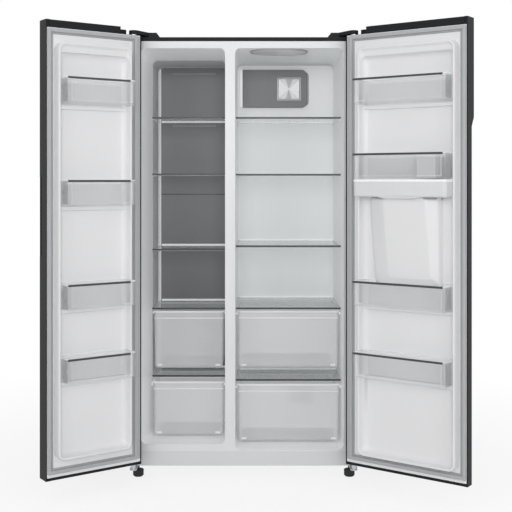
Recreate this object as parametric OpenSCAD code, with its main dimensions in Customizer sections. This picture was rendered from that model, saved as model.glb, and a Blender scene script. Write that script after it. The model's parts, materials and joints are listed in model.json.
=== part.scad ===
// Side by side refrigerator, free standing, freezer on the left and fridge on the right.
// Origin: on the floor under the middle of the cabinet. +X right, +Y to the back, +Z up, millimetres.
// Both doors are drawn open, as the appliance stands at rest.

/* [Cabinet] */
// Width of the cabinet
body_w = 910; // [820:1:1100]
// Depth of the cabinet without its doors
body_d = 620; // [560:1:760]
// Height of the cabinet top above the floor
body_top = 1764; // [1500:1:2000]
// Height of the cabinet underside above the floor
base_z = 48; // [40:1:70]
// Thickness of the outer steel sheet
sheet_t = 1; // [0.8:0.1:1.5]
// Thickness of the white frame round the openings
frame_t = 1.2; // [1:0.1:3]
// Wall thickness beside the freezer at the front
freezer_wall = 44; // [38:1:70]
// Wall thickness beside the fridge at the front
fridge_wall = 55; // [48:1:80]
// Thickness of the ceiling insulation at the front
ceiling_wall = 44; // [35:1:70]
// Width of the wall between the two openings
mullion_w = 40; // [34:1:60]
// Width of the freezer opening
freezer_w = 336; // [280:1:420]
// Height of the freezer floor above the floor
freezer_floor = 134; // [120:1:170]
// Height of the fridge floor above the floor
fridge_floor = 112; // [108:1:160]
// How far the freezer walls draw in behind the opening
flare_in = 28; // [10:1:40]
// Depth over which the freezer walls draw in
flare_d = 150; // [80:1:180]
// Radius of the compartment corners
corner_r = 22; // [8:1:28]
// Thickness of the plastic liners
liner_t = 2; // [1.5:0.5:4]
// Insulation between the liners and the back sheet
back_wall = 67; // [50:1:100]

/* [Machine bay] */
// Depth of the bay for the compressor
bay_d = 215; // [190:1:240]
// Height of the bay roof above the floor
bay_top = 300; // [285:1:340]
// Insulation round the bay
bay_wall = 48; // [35:1:70]
// Radius of the compressor shell
compressor_r = 68; // [50:1:80]

/* [Inside] */
// Thickness of the glass shelves
glass_t = 4; // [3:0.5:6]
// Heights of the freezer shelves
freezer_shelves = [379, 659, 904, 1217, 1452];
// Heights of the fridge shelves
fridge_shelves = [367, 663, 920, 1216, 1451];
// Distance of the freezer shelves behind the front
freezer_shelf_set = 155; // [130:1:200]
// Distance of the fridge shelves behind the front
fridge_shelf_set = 130; // [110:1:200]
// Room for the evaporator behind the freezer panel
evaporator_room = 115; // [100:1:140]
// Room for the air duct behind the fridge panel
duct_room = 55; // [40:1:80]
// Wall thickness of the drawers
drawer_t = 3; // [2:0.5:4]
// Side clearance of the drawers
drawer_gap = 4; // [2:0.5:8]

/* [Doors] */
// Width of the freezer door
freezer_door_w = 398; // [340:1:480]
// Gap between the two doors
door_split = 4; // [3:0.5:8]
// Thickness of the doors without the seal
door_t = 70; // [60:1:90]
// Gap between the doors and the cabinet
door_gap = 8; // [6:0.5:12]
// Height of the door bottoms above the floor
door_z0 = 72; // [66:1:90]
// Height of the doors' top edges above the cabinet top
door_rise = 26; // [22:1:40]
// Opening angle at which the doors are drawn
door_open = 145; // [90:1:150]
// Distance of the hinge pins from the side of the cabinet
pin_in = 18; // [14:1:24]
// Distance of the hinge pins from the outer face of the doors
pin_set = 36; // [30:1:40]
// Radius of the hinge pins
pin_r = 5; // [4:0.5:7]
// Radius of the doors' outer edges
door_r = 12; // [4:1:20]
// Wall thickness of the door bins
bin_t = 2.5; // [2:0.5:4]
// Height of the door bins
bin_h = 98; // [70:1:120]
// Depth of the door bins from the inner plane of the door
bin_d = 94; // [70:1:96]
// Top heights of the freezer door bins
freezer_bins = [535, 808, 1192, 1572];
// Top heights of the fridge door bins
fridge_bins = [536, 808, 1293, 1579];
// Width of the dispenser recess
recess_w = 190; // [150:1:230]
// Height of the dispenser recess
recess_h = 270; // [220:1:300]
// Depth of the dispenser recess
recess_d = 86; // [60:1:100]

/* [Hidden] */
$fn = 48;

// Fits and small clearances
seam = 0.1;          // parting between pieces that lie against each other
seat = 0.3;          // gap under a piece that rests and slides or lifts off
run_fit = 0.05;      // radial clearance of a pin that turns
cut = 1;             // how far a cutting shape runs past the face it cuts
big = 3000;          // longer than the whole appliance

// Cabinet planes
half_w = body_w / 2;
front_y = -body_d / 2;
back_y = body_d / 2;
in_front = front_y + frame_t;             // back face of the front frame
in_side = half_w - sheet_t;
pan_t = 2;
pan_top = base_z + pan_t;
fz_x0 = -half_w + freezer_wall;           // freezer opening
fz_x1 = fz_x0 + freezer_w;
fr_x0 = fz_x1 + mullion_w;                // fridge opening
fr_x1 = half_w - fridge_wall;
ceiling = body_top - ceiling_wall;
fz_in_x0 = fz_x0 + flare_in;              // freezer walls behind the flare
fz_in_top = ceiling - flare_in;
flare_y = front_y + flare_d;
liner_back = back_y - sheet_t - back_wall;
bay_y = back_y - sheet_t - bay_d;         // front of the machine bay
step_slack = 6;
step_y = bay_y - bay_wall - step_slack;   // liner step in front of the bay
step_z = bay_top + bay_wall + liner_t;    // liner step above the bay
lip_h = 16;
frame_top = body_top - lip_h;
kick_top = 106;
bay_plate = 1.2;

// Inner panels
panel_t = 3;
fz_panel_y = liner_back - evaporator_room;
duct_y = liner_back - duct_room;
ceiling_slope = 12;

// Door planes, closed
pin_x = half_w - pin_in;
door_in_y = front_y - door_gap;
door_out_y = door_in_y - door_t;
pin_y = door_out_y + pin_set;
fridge_door_w = body_w - freezer_door_w - door_split;
door_z1 = body_top + door_rise;
skin_t = 1;
skin_return = 14;
door_liner_t = 1.5;
cap_h = 30;
foot_cap_h = 12;
notch_r = 80;                             // room for the upper hinge in the door top
notch_z = body_top - 3;
notch_corner = 34;                        // from the hinge edge to where the face is whole
notch_face = 8;                           // thickness of the face in front of the notch
boss_r = 13;
boss_h = 26;
plate_t = 4;                              // hinge plate thickness
washer_r = 9;

// Gasket and door liner borders, measured from the hinge edge and the free edge
gasket_hinge = 18;
gasket_free = 5;
gasket_w = 22;
gasket_t = door_gap - seat;
gasket_z0 = kick_top - 10;
gasket_over = 37;
gasket_z1 = ceiling + gasket_over;
dyke_w = 12;
dyke_h = 41;
dyke_clear = 14;
dyke_free = 31;

// Trims of the door bins, set in from the bins' hinge ends and free ends
fz_trim_ends = [27, 2];
fr_trim_ends = [3, 12];
trim_t = 3;
trim_h = 8;

// Small lidded box in the third bin of the fridge door
box_bin = 2;
box_w = 78;
box_h = 86;
box_t = 2;
box_lid = 6;
box_free = 44;                            // from the free end of the bin

// Right door's bevelled edge
bevel_t = 30;
bevel_u = 22;
bevel_top = 1389;
bevel_ramp = 51;

// Left door's grip pocket
grip_z0 = 907;
grip_z1 = 1203;
grip_w = 22;
grip_depth = 24;
grip_lip = 4;

// Water tank and dispenser
tank_top = 1188;
tank_h = 60;
lid_t = 6;
recess_z0 = 850;
recess_u = 155;
recess_t = 2;
recess_z1 = recess_z0 + recess_h;
bulge_z0 = 812;
bulge_z1 = tank_top - tank_h - 6;
bulge_t = 60;
lever_t = 4;
lever_w = 46;
lever_pin_r = 2.5;
lever_pin_z = recess_z1 - 26;
lever_pin_y = door_out_y + 50;

// Running gear
foot_x = 425;
foot_y = front_y + 25;
roller_r = base_z / 2 - 3;
roller_w = 18;
roller_x = 400;
roller_y = back_y - 70;
axle_r = 4;
screw_r = 2.4;
screw_head_r = 5;

// Fans
fan_shaft_r = 3;
evap_fan = [(fz_in_x0 + fz_x1) / 2, fz_panel_y + 28, 1060];
cond_fan = [-95, bay_y + 105, 145];

// --- helpers -------------------------------------------------------------------------------

// A box given by its corners
module box(x, y, z) {
    translate([x[0], y[0], z[0]]) cube([x[1] - x[0], y[1] - y[0], z[1] - z[0]]);
}

// A rectangle with round corners, exact arcs
module round_rect(x, y, r) {
    translate([x[0] + r, y[0]]) square([x[1] - x[0] - 2 * r, y[1] - y[0]]);
    translate([x[0], y[0] + r]) square([x[1] - x[0], y[1] - y[0] - 2 * r]);
    for (cx = [x[0] + r, x[1] - r], cy = [y[0] + r, y[1] - r]) translate([cx, cy]) circle(r);
}

// Extrudes an outline drawn in X and Z along Y
module along_y(y) {
    translate([0, y[1], 0]) rotate([90, 0, 0]) linear_extrude(y[1] - y[0]) children();
}

// Extrudes an outline drawn in Y and Z along X
module along_x(x) {
    translate([x[0], 0, 0]) rotate([90, 0, 90]) linear_extrude(x[1] - x[0]) children();
}

// One block of poured foam, a seam smaller all round
module slab(x, y, z) {
    box([x[0] + seam, x[1] - seam], [y[0] + seam, y[1] - seam], [z[0] + seam, z[1] - seam]);
}

// --- cabinet -------------------------------------------------------------------------------

module cabinet_shell() color("#3b3c3f") {
    for (s = [-1, 1]) {
        box([s > 0 ? in_side : -half_w, s > 0 ? half_w : -in_side], [front_y, back_y],
            [base_z, body_top - sheet_t - seam]);
    }
    box([-half_w, half_w], [front_y, back_y], [body_top - sheet_t, body_top]);
    box([-in_side + seam, in_side - seam], [front_y, in_front], [frame_top, body_top - sheet_t]);
}

module back_panel() color("#8d9092")
    box([-in_side + seam, in_side - seam], [back_y - sheet_t, back_y],
        [bay_top + bay_plate + seam, body_top - sheet_t - seam]);

// Outer form of the freezer liner, grown by the amount g from its inside
module freezer_form(g) {
    intersection() {
        translate([0, 0, freezer_floor - g]) linear_extrude(ceiling - freezer_floor + 2 * g)
            polygon([[fz_x0 - g, front_y - cut], [fz_x0 - g, front_y], [fz_in_x0 - g, flare_y],
                [fz_x1 + g, flare_y], [fz_x1 + g, front_y - cut]]);
        along_x([fz_x0 - g, fz_x1 + g])
            polygon([[front_y - cut, freezer_floor - g], [front_y - cut, ceiling + g],
                [front_y, ceiling + g], [flare_y, fz_in_top + g], [flare_y, freezer_floor - g]]);
    }
    box([fz_in_x0 - g, fz_x1 + g], [flare_y - cut, liner_back + g], [step_z - g, fz_in_top + g]);
    box([fz_in_x0 - g, fz_x1 + g], [flare_y - cut, step_y + g], [freezer_floor - g, step_z + 50]);
}

module fridge_form(g) {
    along_y([front_y - cut, liner_back + g])
        round_rect([fr_x0 - g, fr_x1 + g], [step_z - g, ceiling + g], corner_r + g);
    along_y([front_y - cut, step_y + g])
        round_rect([fr_x0 - g, fr_x1 + g], [fridge_floor - g, step_z + 2 * corner_r + g],
            corner_r + g);
}

// Cuts off whatever lies in front of the front frame
module behind_frame() difference() {
    children();
    box([-half_w, half_w], [front_y - 2 * cut, in_front + seam], [0, body_top + cut]);
}

module freezer_liner() color("#d4d6d7") behind_frame() difference() {
    freezer_form(liner_t);
    freezer_form(0);
}

module fridge_liner() color("#dfe0e1") behind_frame() difference() {
    fridge_form(liner_t);
    fridge_form(0);
}

module cabinet_foam() color("#e8dcae") {
    side_in = in_side - seam;
    low_y = step_y + liner_t;
    wide = [fz_in_x0 - liner_t, fr_x1 + liner_t];
    walls = [[-side_in, fz_in_x0 - liner_t], [fr_x1 + liner_t, side_in]];
    mid = [fz_x1 + liner_t, fr_x0 - liner_t];
    top_z = body_top - sheet_t;
    difference() {
        union() {
            for (w = walls) {
                slab(w, [in_front, back_y - sheet_t], [bay_top + bay_plate, top_z]);
                slab(w, [in_front, bay_y], [pan_top, bay_top + bay_plate]);
            }
            slab([wide[0], mid[0]], [in_front, back_y - sheet_t], [fz_in_top + liner_t, top_z]);
            slab([mid[0], wide[1]], [in_front, back_y - sheet_t], [ceiling + liner_t, top_z]);
            slab([wide[0], mid[0]], [in_front, low_y], [pan_top, freezer_floor - liner_t]);
            slab([mid[1], wide[1]], [in_front, low_y], [pan_top, fridge_floor - liner_t]);
            slab(mid, [in_front, low_y], [pan_top, step_z - liner_t]);
            slab(mid, [in_front, liner_back + liner_t], [step_z - liner_t, ceiling + liner_t]);
            slab(wide, [low_y, bay_y], [pan_top, bay_top + bay_plate]);
            slab(wide, [low_y, back_y - sheet_t], [bay_top + bay_plate, step_z - liner_t]);
            slab(wide, [liner_back + liner_t, back_y - sheet_t], [step_z - liner_t, fz_in_top]);
        }
        freezer_form(liner_t + seam);
        foot_nuts(1.5);
    }
}

module opening_2d(x, floor_z) round_rect(x, [floor_z, ceiling], corner_r);

module front_frame() color("#e4e5e6") difference() {
    box([-in_side + seam, in_side - seam], [front_y, in_front],
        [kick_top + seam, frame_top - seam]);
    along_y([front_y - cut, in_front + cut]) opening_2d([fz_x0, fz_x1], freezer_floor);
    along_y([front_y - cut, in_front + cut]) opening_2d([fr_x0, fr_x1], fridge_floor);
}

module kick_plate() color("#d8d9da")
    box([-in_side + seam, in_side - seam], [front_y, in_front], [pan_top, kick_top]);

// Welded nuts for the front feet, or the room for them with extra radius
module foot_nuts(extra) {
    for (s = [-1, 1]) translate([s * foot_x, foot_y, pan_top - seam])
        cylinder(r = 9 + extra, h = 12 + extra);
}

module base_pan() color("#9a9c9e") difference() {
    union() {
        box([-in_side + seam, in_side - seam], [in_front + seam, back_y - sheet_t - 2],
            [base_z, pan_top]);
        foot_nuts(0);
    }
    for (s = [-1, 1]) translate([s * foot_x, foot_y, 0])
        cylinder(r = pin_r + run_fit, h = base_z + 40);
}

module machine_bay() color("#a4a6a8") {
    z0 = pan_top + seam;
    y1 = back_y - sheet_t - 2;
    side = in_side - seam;
    box([-side, side], [bay_y + seam, bay_y + bay_plate], [z0, bay_top + bay_plate - seam]);
    box([-side, side], [bay_y + seam, y1], [bay_top, bay_top + bay_plate - seam]);
    for (x = [-side, side - bay_plate])
        box([x, x + bay_plate], [bay_y + seam, y1], [z0, bay_top + bay_plate - seam]);
}

module machine_cover() color("#54565a") difference() {
    box([-in_side + seat, in_side - seat], [back_y - 2.5, back_y - 0.5],
        [pan_top + 2, bay_top - 2]);
    for (x = [-360 : 120 : 360], z = [90 : 18 : 234])
        along_y([back_y - 2 * cut - 2, back_y + cut])
            round_rect([x - 40, x + 40], [z, z + 7], 3);
    translate([half_w - 40, 0, pan_top + 22]) rotate([-90, 0, 0]) cylinder(r = 9, h = big);
}

// --- freezer and fridge inside ---------------------------------------------------------------

module freezer_back_panel() color("#747678") difference() {
    box([fz_in_x0 + seat, fz_x1 - seat], [fz_panel_y, fz_panel_y + panel_t],
        [step_z + seat, fz_in_top - seat]);
    for (z = [1433, 1665])
        along_y([fz_panel_y - cut, fz_panel_y + panel_t + cut])
            round_rect([fz_in_x0 + 58, fz_x1 - 54], [z - 4, z + 4], 3);
    along_y([fz_panel_y - cut, fz_panel_y + panel_t + cut])
        round_rect([fz_in_x0 + 58, fz_x1 - 54], [step_z + 26, step_z + 46], 8);
}

module evaporator() color("#b9bcbe") {
    x = [fz_in_x0 + 26, fz_x1 - 26];
    y = [fz_panel_y + 20, liner_back - 12];
    for (i = [0 : 12])
        box([x[0] + 4 + i * (x[1] - x[0] - 9) / 12, x[0] + 5 + i * (x[1] - x[0] - 9) / 12], y,
            [480, 900]);
    for (z = [510 : 60 : 870], py = [y[0] + 20, y[1] - 20])
        translate([x[0], py, z]) rotate([0, 90, 0]) cylinder(r = 4, h = x[1] - x[0]);
    for (px = x) box([px - 1, px + 1], [y[0], liner_back - seat], [470, 910]);
}

// A small fan motor with its shaft along +Z at the origin, and the foot that carries it
module fan_motor(foot) {
    translate([0, 0, 16]) cylinder(r = 27, h = 34);
    cylinder(r = fan_shaft_r, h = 18);
    translate([0, 0, 49]) cylinder(r = 12, h = foot);
}

module fan_motors() color("#4a4c50") {
    translate(evap_fan) rotate([-90, 0, 0]) fan_motor(liner_back - evap_fan[1] - 49 - seat);
    translate(cond_fan) rotate([0, 90, 0]) fan_motor(8);
    translate([cond_fan[0] + 50, cond_fan[1] - 14, pan_top + seam])
        cube([9, 28, cond_fan[2] - pan_top]);
}

// Axial fan: hub with a bore for the motor shaft, and pitched blades
module fan(r) difference() {
    union() {
        translate([0, 0, -8]) cylinder(r = 16, h = 20);
        for (i = [0 : 6]) rotate([0, 0, i * 360 / 7]) translate([13, 0, 2])
            rotate([28, 0, 0]) translate([0, -14, -1]) cube([r - 15, 28, 2]);
    }
    translate([0, 0, -1]) cylinder(r = fan_shaft_r + run_fit, h = 30);
}

module evaporator_fan() color("#e6e6e6") translate(evap_fan) rotate([-90, 0, 0]) fan(52);

module condenser_fan() color("#2f3134") translate(cond_fan) rotate([0, 90, 0]) fan(60);

fz_shelf_x = [fz_in_x0 + 1, fz_x1 - 1];
fr_shelf_x = [fr_x0 + 1, fr_x1 - 1];
fz_shelf_y = [front_y + freezer_shelf_set, fz_panel_y - 2];
fr_shelf_y = [front_y + fridge_shelf_set, duct_y - 2];

// A shelf close above the liner step ends in front of it
function shelf_back(z, y) = z < step_z + 2 * corner_r ? step_y - 4 : y;

module freezer_shelf_glass() color("#cfe6e3", 0.5) for (z = freezer_shelves)
    box(fz_shelf_x, [fz_shelf_y[0] + seam, shelf_back(z, fz_shelf_y[1])], [z - glass_t, z]);

module fridge_shelf_glass() color("#cfe6e3", 0.5) for (z = fridge_shelves)
    box(fr_shelf_x, [fr_shelf_y[0] + seam, shelf_back(z, fr_shelf_y[1])], [z - glass_t, z]);

// Dark front trims and the thin rear edges of the shelves
module shelf_trims() color("#6c6e70")
    for (set = [[fz_shelf_x, fz_shelf_y, freezer_shelves], [fr_shelf_x, fr_shelf_y, fridge_shelves]],
        z = set[2]) {
        back = shelf_back(z, set[1][1]);
        box(set[0], [set[1][0] - 6, set[1][0]], [z - glass_t - 3, z + 2]);
        box(set[0], [back + seam, back + 1.7], [z - glass_t - 3, z + 2]);
    }

rim_w = 6;
rim_h = 7;
runner_h = 8;
fz_drawer_z = [[410, 650], [freezer_floor + 2, 362]];    // upper and lower drawer
fr_drawer_z = [[410, 651], [fridge_floor + 2, 354]];

// Ledges on the walls that carry the shelves and the drawer rims
module drawer_runners() color("#d9dadb") {
    w = drawer_gap + rim_w - 2;
    sets = [[[fz_in_x0, fz_x1], fz_shelf_y, freezer_shelves, fz_drawer_z, fz_low],
        [[fr_x0, fr_x1], fr_shelf_y, fridge_shelves, fr_drawer_z, fr_low]];
    for (s = sets) {
        for (z = s[2])
            ledge(s[0], [s[1][0], shelf_back(z, s[1][1])], z - glass_t - seam, w, runner_h / 2);
        ledge(s[0], s[1], s[3][0][1] - rim_h - seat, w, runner_h);
        ledge(s[0], s[4], s[3][1][1] - rim_h - seat, w, runner_h);
    }
}

// A pair of ledges of height h with their upper face at z
module ledge(x, y, z, w, h) {
    box([x[0] + seam, x[0] + w], y, [z - h, z]);
    box([x[1] - w, x[1] - seam], y, [z - h, z]);
}

fz_up = [fz_shelf_y[0] - 25, fz_panel_y - 10];
fr_up = [fr_shelf_y[0], duct_y - 10];
fz_low = [fz_shelf_y[0] - 45, step_y - 8];
fr_low = [fr_shelf_y[0] - 30, step_y - 20];

// An open drawer with a rim and a finger slot at its front
module drawer(x, y, z) {
    outer = [x[0] + drawer_gap + rim_w, x[1] - drawer_gap - rim_w];
    rim = [x[0] + drawer_gap, x[1] - drawer_gap];
    r = corner_r;
    difference() {
        union() {
            along_y(y) round_rect(outer, [z[0], z[1] + 2 * r], r);
            box(rim, y, [z[1] - rim_h, z[1]]);
        }
        along_y([y[0] + drawer_t, y[1] - drawer_t])
            round_rect([outer[0] + drawer_t, outer[1] - drawer_t],
                [z[0] + drawer_t, z[1] + 2 * r + cut], r - drawer_t);
        box([x[0] - cut, x[1] + cut], [y[0] - cut, y[1] + cut], [z[1], z[1] + 3 * r]);
        box([(x[0] + x[1]) / 2 - 60, (x[0] + x[1]) / 2 + 60], [y[0] - cut, y[0] + drawer_t + cut],
            [z[1] - 22, z[1] + cut]);
    }
}

module freezer_drawer_upper() color("#dfe4e6", 0.6)
    drawer([fz_in_x0, fz_x1], fz_up, fz_drawer_z[0]);

module freezer_drawer_lower() color("#dfe4e6", 0.6)
    drawer([fz_in_x0, fz_x1], fz_low, fz_drawer_z[1]);

module crisper_upper() color("#dfe4e6", 0.6) drawer([fr_x0, fr_x1], fr_up, fr_drawer_z[0]);

module crisper_lower() color("#dfe4e6", 0.6)
    drawer([fr_x0, fr_x1], fr_low, fr_drawer_z[1]);

module air_duct_cover() color("#e2e3e4") along_y([duct_y, duct_y + panel_t])
    round_rect([fr_x0 + seat, fr_x1 - seat], [step_z + seat, ceiling - ceiling_slope], corner_r);

fascia_x = [fr_x0 + 12, fr_x0 + 313];
fascia_z = [1519, 1689];

module duct_fascia() color("#747678") along_y([duct_y - 16, duct_y - seam])
    round_rect(fascia_x, fascia_z, corner_r);

module air_outlet_plate() color("#d0d2d4") {
    cx = fr_x0 + 232;
    cz = 1602;
    difference() {
        along_y([duct_y - 21, duct_y - 16 - seam])
            round_rect([cx - 54, cx + 54], [cz - 52, cz + 52], 3);
        translate([cx, duct_y - 22, cz]) rotate([-90, 0, 0])
            cylinder(r1 = 43, r2 = 16, h = 3.5, $fn = 64);
    }
}

module ceiling_lamp() color("#f4f4f2") translate([0, 0, ceiling - 8])
    linear_extrude(8 - seam) round_rect([fr_x0 + 59, fr_x0 + 297], [front_y + 12, front_y + 180], 80);

module crisper_vent() color("#c9cbcc") difference() {
    box([fr_x0 + 232, fr_x0 + 334], [step_y - 14, step_y - seam], [219, 291]);
    for (i = [0 : 5])
        box([fr_x0 + 240, fr_x0 + 326], [step_y - 14 - cut, step_y - 10],
            [226 + i * 10.5, 231 + i * 10.5]);
}

// --- machine bay -----------------------------------------------------------------------------

comp = [-250, bay_y + 108, pan_top + 20];

module compressor() color("#26282a") translate(comp) {
    rotate_extrude() {
        translate([0, 30]) square([compressor_r, 100]);
        square([compressor_r - 30, 160]);
        for (z = [30, 130]) translate([compressor_r - 30, z]) circle(30);
    }
    difference() {
        box([-85, 85], [-62, 62], [0, 4]);
        for (sx = [-1, 1], sy = [-1, 1]) translate([sx * 74, sy * 52, -cut])
            cylinder(r = 5 + seam, h = 10);
    }
    translate([compressor_r - 8, 0, 90]) cube([22, 40, 44]);
    for (a = [150, 210]) rotate([0, 0, a]) translate([compressor_r - 6, 0, 70])
        rotate([0, 90, 0]) cylinder(r = 4, h = 26);
}

module compressor_mounts() color("#1d1d1f") translate([comp[0], comp[1], pan_top + seam])
    for (sx = [-1, 1], sy = [-1, 1]) translate([sx * 74, sy * 52, 0]) {
        cylinder(r = 12, h = 20 - 2 * seam);
        cylinder(r = 5, h = 28);
    }

cond_x = [20, 180];
cond_y = [bay_y + 30, bay_y + 180];

module condenser() color("#2e3032") {
    for (i = [0 : 11]) {
        x = cond_x[0] + 6 + i * 13;
        box([x, x + 1], [cond_y[0], cond_y[1]], [70, 220]);
    }
    for (z = [90 : 36 : 200], y = [cond_y[0] + 30, cond_y[1] - 30])
        translate([cond_x[0], y, z]) rotate([0, 90, 0])
            cylinder(r = 4, h = cond_x[1] - cond_x[0]);
    for (x = [cond_x[0], cond_x[1] - 2])
        box([x, x + 2], cond_y, [pan_top + seam, 228]);
}

module evaporation_tray() color("#3a3c3e") difference() {
    box([200, 400], [bay_y + 20, bay_y + 190], [pan_top + seam, pan_top + 42]);
    box([203, 397], [bay_y + 23, bay_y + 187], [pan_top + 3, pan_top + 42 + cut]);
}

// --- feet and rollers ------------------------------------------------------------------------

// Levelling foot: a tapered plastic pad on a steel stud
module foot() {
    rotate_extrude() polygon([[0, 0], [17, 0], [19, 3], [22, 24], [20, 28], [0, 28]]);
    translate([0, 0, 27]) cylinder(r = pin_r, h = pan_top - 27 + 9);
}

module front_foot_left() color("#1c1c1e") translate([-foot_x, foot_y, 0]) foot();

module front_foot_right() color("#1c1c1e") translate([foot_x, foot_y, 0]) foot();

module roller() rotate([0, 90, 0]) difference() {
    cylinder(r = roller_r, h = roller_w, center = true);
    cylinder(r = axle_r + run_fit, h = roller_w + 2 * cut, center = true);
}

module rear_roller_left() color("#303234") translate([-roller_x, roller_y, roller_r]) roller();

module rear_roller_right() color("#303234") translate([roller_x, roller_y, roller_r]) roller();

module roller_brackets() color("#8f9193") for (s = [-1, 1]) translate([s * roller_x, roller_y, 0]) {
    for (x = [-roller_w / 2 - 3.3, roller_w / 2 + seat])
        box([x, x + 3], [-14, 14], [roller_r - 10, base_z - seam]);
    translate([-roller_w / 2 - 3, 0, roller_r]) rotate([0, 90, 0])
        cylinder(r = axle_r, h = roller_w + 6);
    box([-24, 24], [-14, 14], [base_z - 2 - seam, base_z - seam]);
}

// --- hinges ----------------------------------------------------------------------------------

hinge_x = [pin_x - 14, pin_x + 14];
hinge_back = front_y + 74;
cover_x = 336;                            // inner end of a hinge cover
cover_slope = 14;
cover_y = front_y + 6;
cover_h = 14.5;
cover_t = 2;
cover_lift = 0.4;
nose_r = 19.5;
nose_in = 56;                             // reach of the nose inwards from the pin
screw_ys = [front_y + 24, front_y + 56];
screw_xs = [pin_x - 7, pin_x + 7];

module hinge_plate_2d() {
    translate([hinge_x[0], pin_y]) square([hinge_x[1] - hinge_x[0], hinge_back - pin_y]);
    translate([pin_x, pin_y]) circle(14);
}

module upper_hinge() {
    z0 = body_top + seam;
    difference() {
        translate([0, 0, z0]) linear_extrude(plate_t) hinge_plate_2d();
        for (x = screw_xs, y = screw_ys) translate([x, y, z0 - cut]) cylinder(r = 2.5, h = 10);
    }
    translate([pin_x, pin_y, notch_z - boss_h + 2]) cylinder(r = pin_r, h = z0 - notch_z + boss_h);
    translate([pin_x, pin_y, z0]) cylinder(r = 8, h = plate_t + 2.5);
}

// Cross-section of a hinge cover over the cabinet, set in by g: its inner end slopes
module hinge_cover_2d(g) {
    top = body_top + plate_t + cover_lift + cover_h - g;
    polygon([[cover_x + 1.2 * g, body_top + seam - (g > 0 ? cut : 0)], [cover_x + cover_slope + g, top],
             [half_w - 1 - g, top], [half_w - 1 - g, body_top + seam - (g > 0 ? cut : 0)]]);
}

// The nose of a hinge cover, over the pin, set in by g
module hinge_nose_2d(g) hull() {
    translate([pin_x - 2.5, pin_y]) circle(nose_r - g);
    translate([pin_x - nose_in + g, cover_y - 2]) square([nose_in + half_w - 1 - pin_x - 2 * g, 2]);
}

module hinge_cover() {
    y = [cover_y, hinge_back + 12];
    z0 = body_top + plate_t + cover_lift;
    difference() {
        union() {
            along_y(y) hinge_cover_2d(0);
            translate([0, 0, z0]) linear_extrude(cover_h) hinge_nose_2d(0);
        }
        along_y([y[0] + cover_t, y[1] - cover_t]) hinge_cover_2d(cover_t);
        translate([0, 0, z0 - cut]) linear_extrude(cover_h - cover_t + cut) {
            hinge_nose_2d(cover_t);
            translate([pin_x - nose_in + cover_t, cover_y - 3])
                square([nose_in + half_w - 1 - pin_x - 2 * cover_t, 8]);
        }
        box([hinge_x[0] - 1, hinge_x[1] + 1], [cover_y - cut, cover_y + 8],
            [body_top - cut, z0 + 1]);
    }
}

module hinge_covers() color("#1f2022") {
    hinge_cover();
    mirror([1, 0, 0]) hinge_cover();
}

lower_pin_z0 = door_z0 - seat;

module lower_hinge() {
    z1 = base_z - seam;
    difference() {
        union() {
            translate([0, 0, z1 - plate_t]) linear_extrude(plate_t) hinge_plate_2d();
            translate([pin_x, pin_y, z1 - plate_t]) cylinder(r = washer_r, h = lower_pin_z0 - z1 + plate_t);
            translate([pin_x, pin_y, z1 - plate_t]) cylinder(r = pin_r, h = door_z0 - z1 + plate_t + 18);
        }
        translate([foot_x, foot_y, 0]) cylinder(r = pin_r + 1, h = base_z + cut);
        for (y = [front_y + 60]) translate([pin_x, y, 0]) cylinder(r = 2.5, h = base_z + cut);
    }
}

module hinges() color("#a8aaac") for (m = [0, 1]) mirror([m, 0, 0]) {
    upper_hinge();
    lower_hinge();
}

// Screw with its head on top and its shank below, at the origin
module screw(shank) {
    cylinder(r = screw_head_r, h = 2.6);
    translate([0, 0, -shank]) cylinder(r = screw_r, h = shank);
}

module fasteners() color("#b4b6b8") {
    for (s = [-1, 1]) {
        for (x = screw_xs, y = screw_ys)
            translate([s * x, y, body_top + seam + plate_t]) screw(plate_t - seam);
        translate([s * pin_x, front_y + 60, base_z - 2 * seam - plate_t])
            rotate([180, 0, 0]) screw(plate_t - seam);
    }
    for (x = [-420, 0, 420], z = [bay_top - 12, pan_top + 12])
        translate([x, back_y - 0.5, z]) rotate([-90, 0, 0]) cylinder(r = 3.5, h = 0.5);
}

// --- doors -----------------------------------------------------------------------------------

// Places a door that is drawn closed from its hinge edge at X = 0: side -1 left, +1 right
module in_door(side) {
    translate([side * pin_x, pin_y, 0]) rotate([0, 0, side * door_open])
        translate([-side * pin_x, -pin_y, 0]) translate([side * half_w, 0, 0])
            mirror([side > 0 ? 1 : 0, 0, 0]) children();
}

// Plan of a door, set in by the amount g, round at the two outer edges
module door_plan(w, g) {
    r = door_r;
    translate([g, door_out_y + r]) square([w - 2 * g, door_t - r]);
    translate([r, door_out_y + g]) square([w - 2 * r, door_t - g]);
    for (x = [r, w - r]) translate([x, door_out_y + r]) circle(r - g);
}

// What the bevelled free edge of the fridge door takes away, set in by g
module bevel(g) {
    depth = bevel_t * bevel_u / sqrt(bevel_t * bevel_t + bevel_u * bevel_u);
    translate([fridge_door_w - bevel_u, door_out_y, 0])
        rotate([0, 0, atan2(bevel_t, bevel_u) - 90]) translate([-g, 0, 0]) {
            box([0, 60], [-60, 60], [-cut, bevel_top]);
            translate([0, 0, bevel_top]) rotate([0, atan2(depth, bevel_ramp), 0])
                box([0, 60], [-60, 60], [0, bevel_ramp * 1.6]);
        }
}

// Room for the upper hinge in a door's top; past the corner the door's face stays whole
module hinge_notch(g) translate([0, 0, notch_z - g]) difference() {
    translate([pin_in, pin_y]) cylinder(r = notch_r + g, h = 100);
    box([notch_corner + g, notch_r * 2], [door_out_y - cut, door_out_y + notch_face - g],
        [-cut, 100 + cut]);
}

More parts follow.
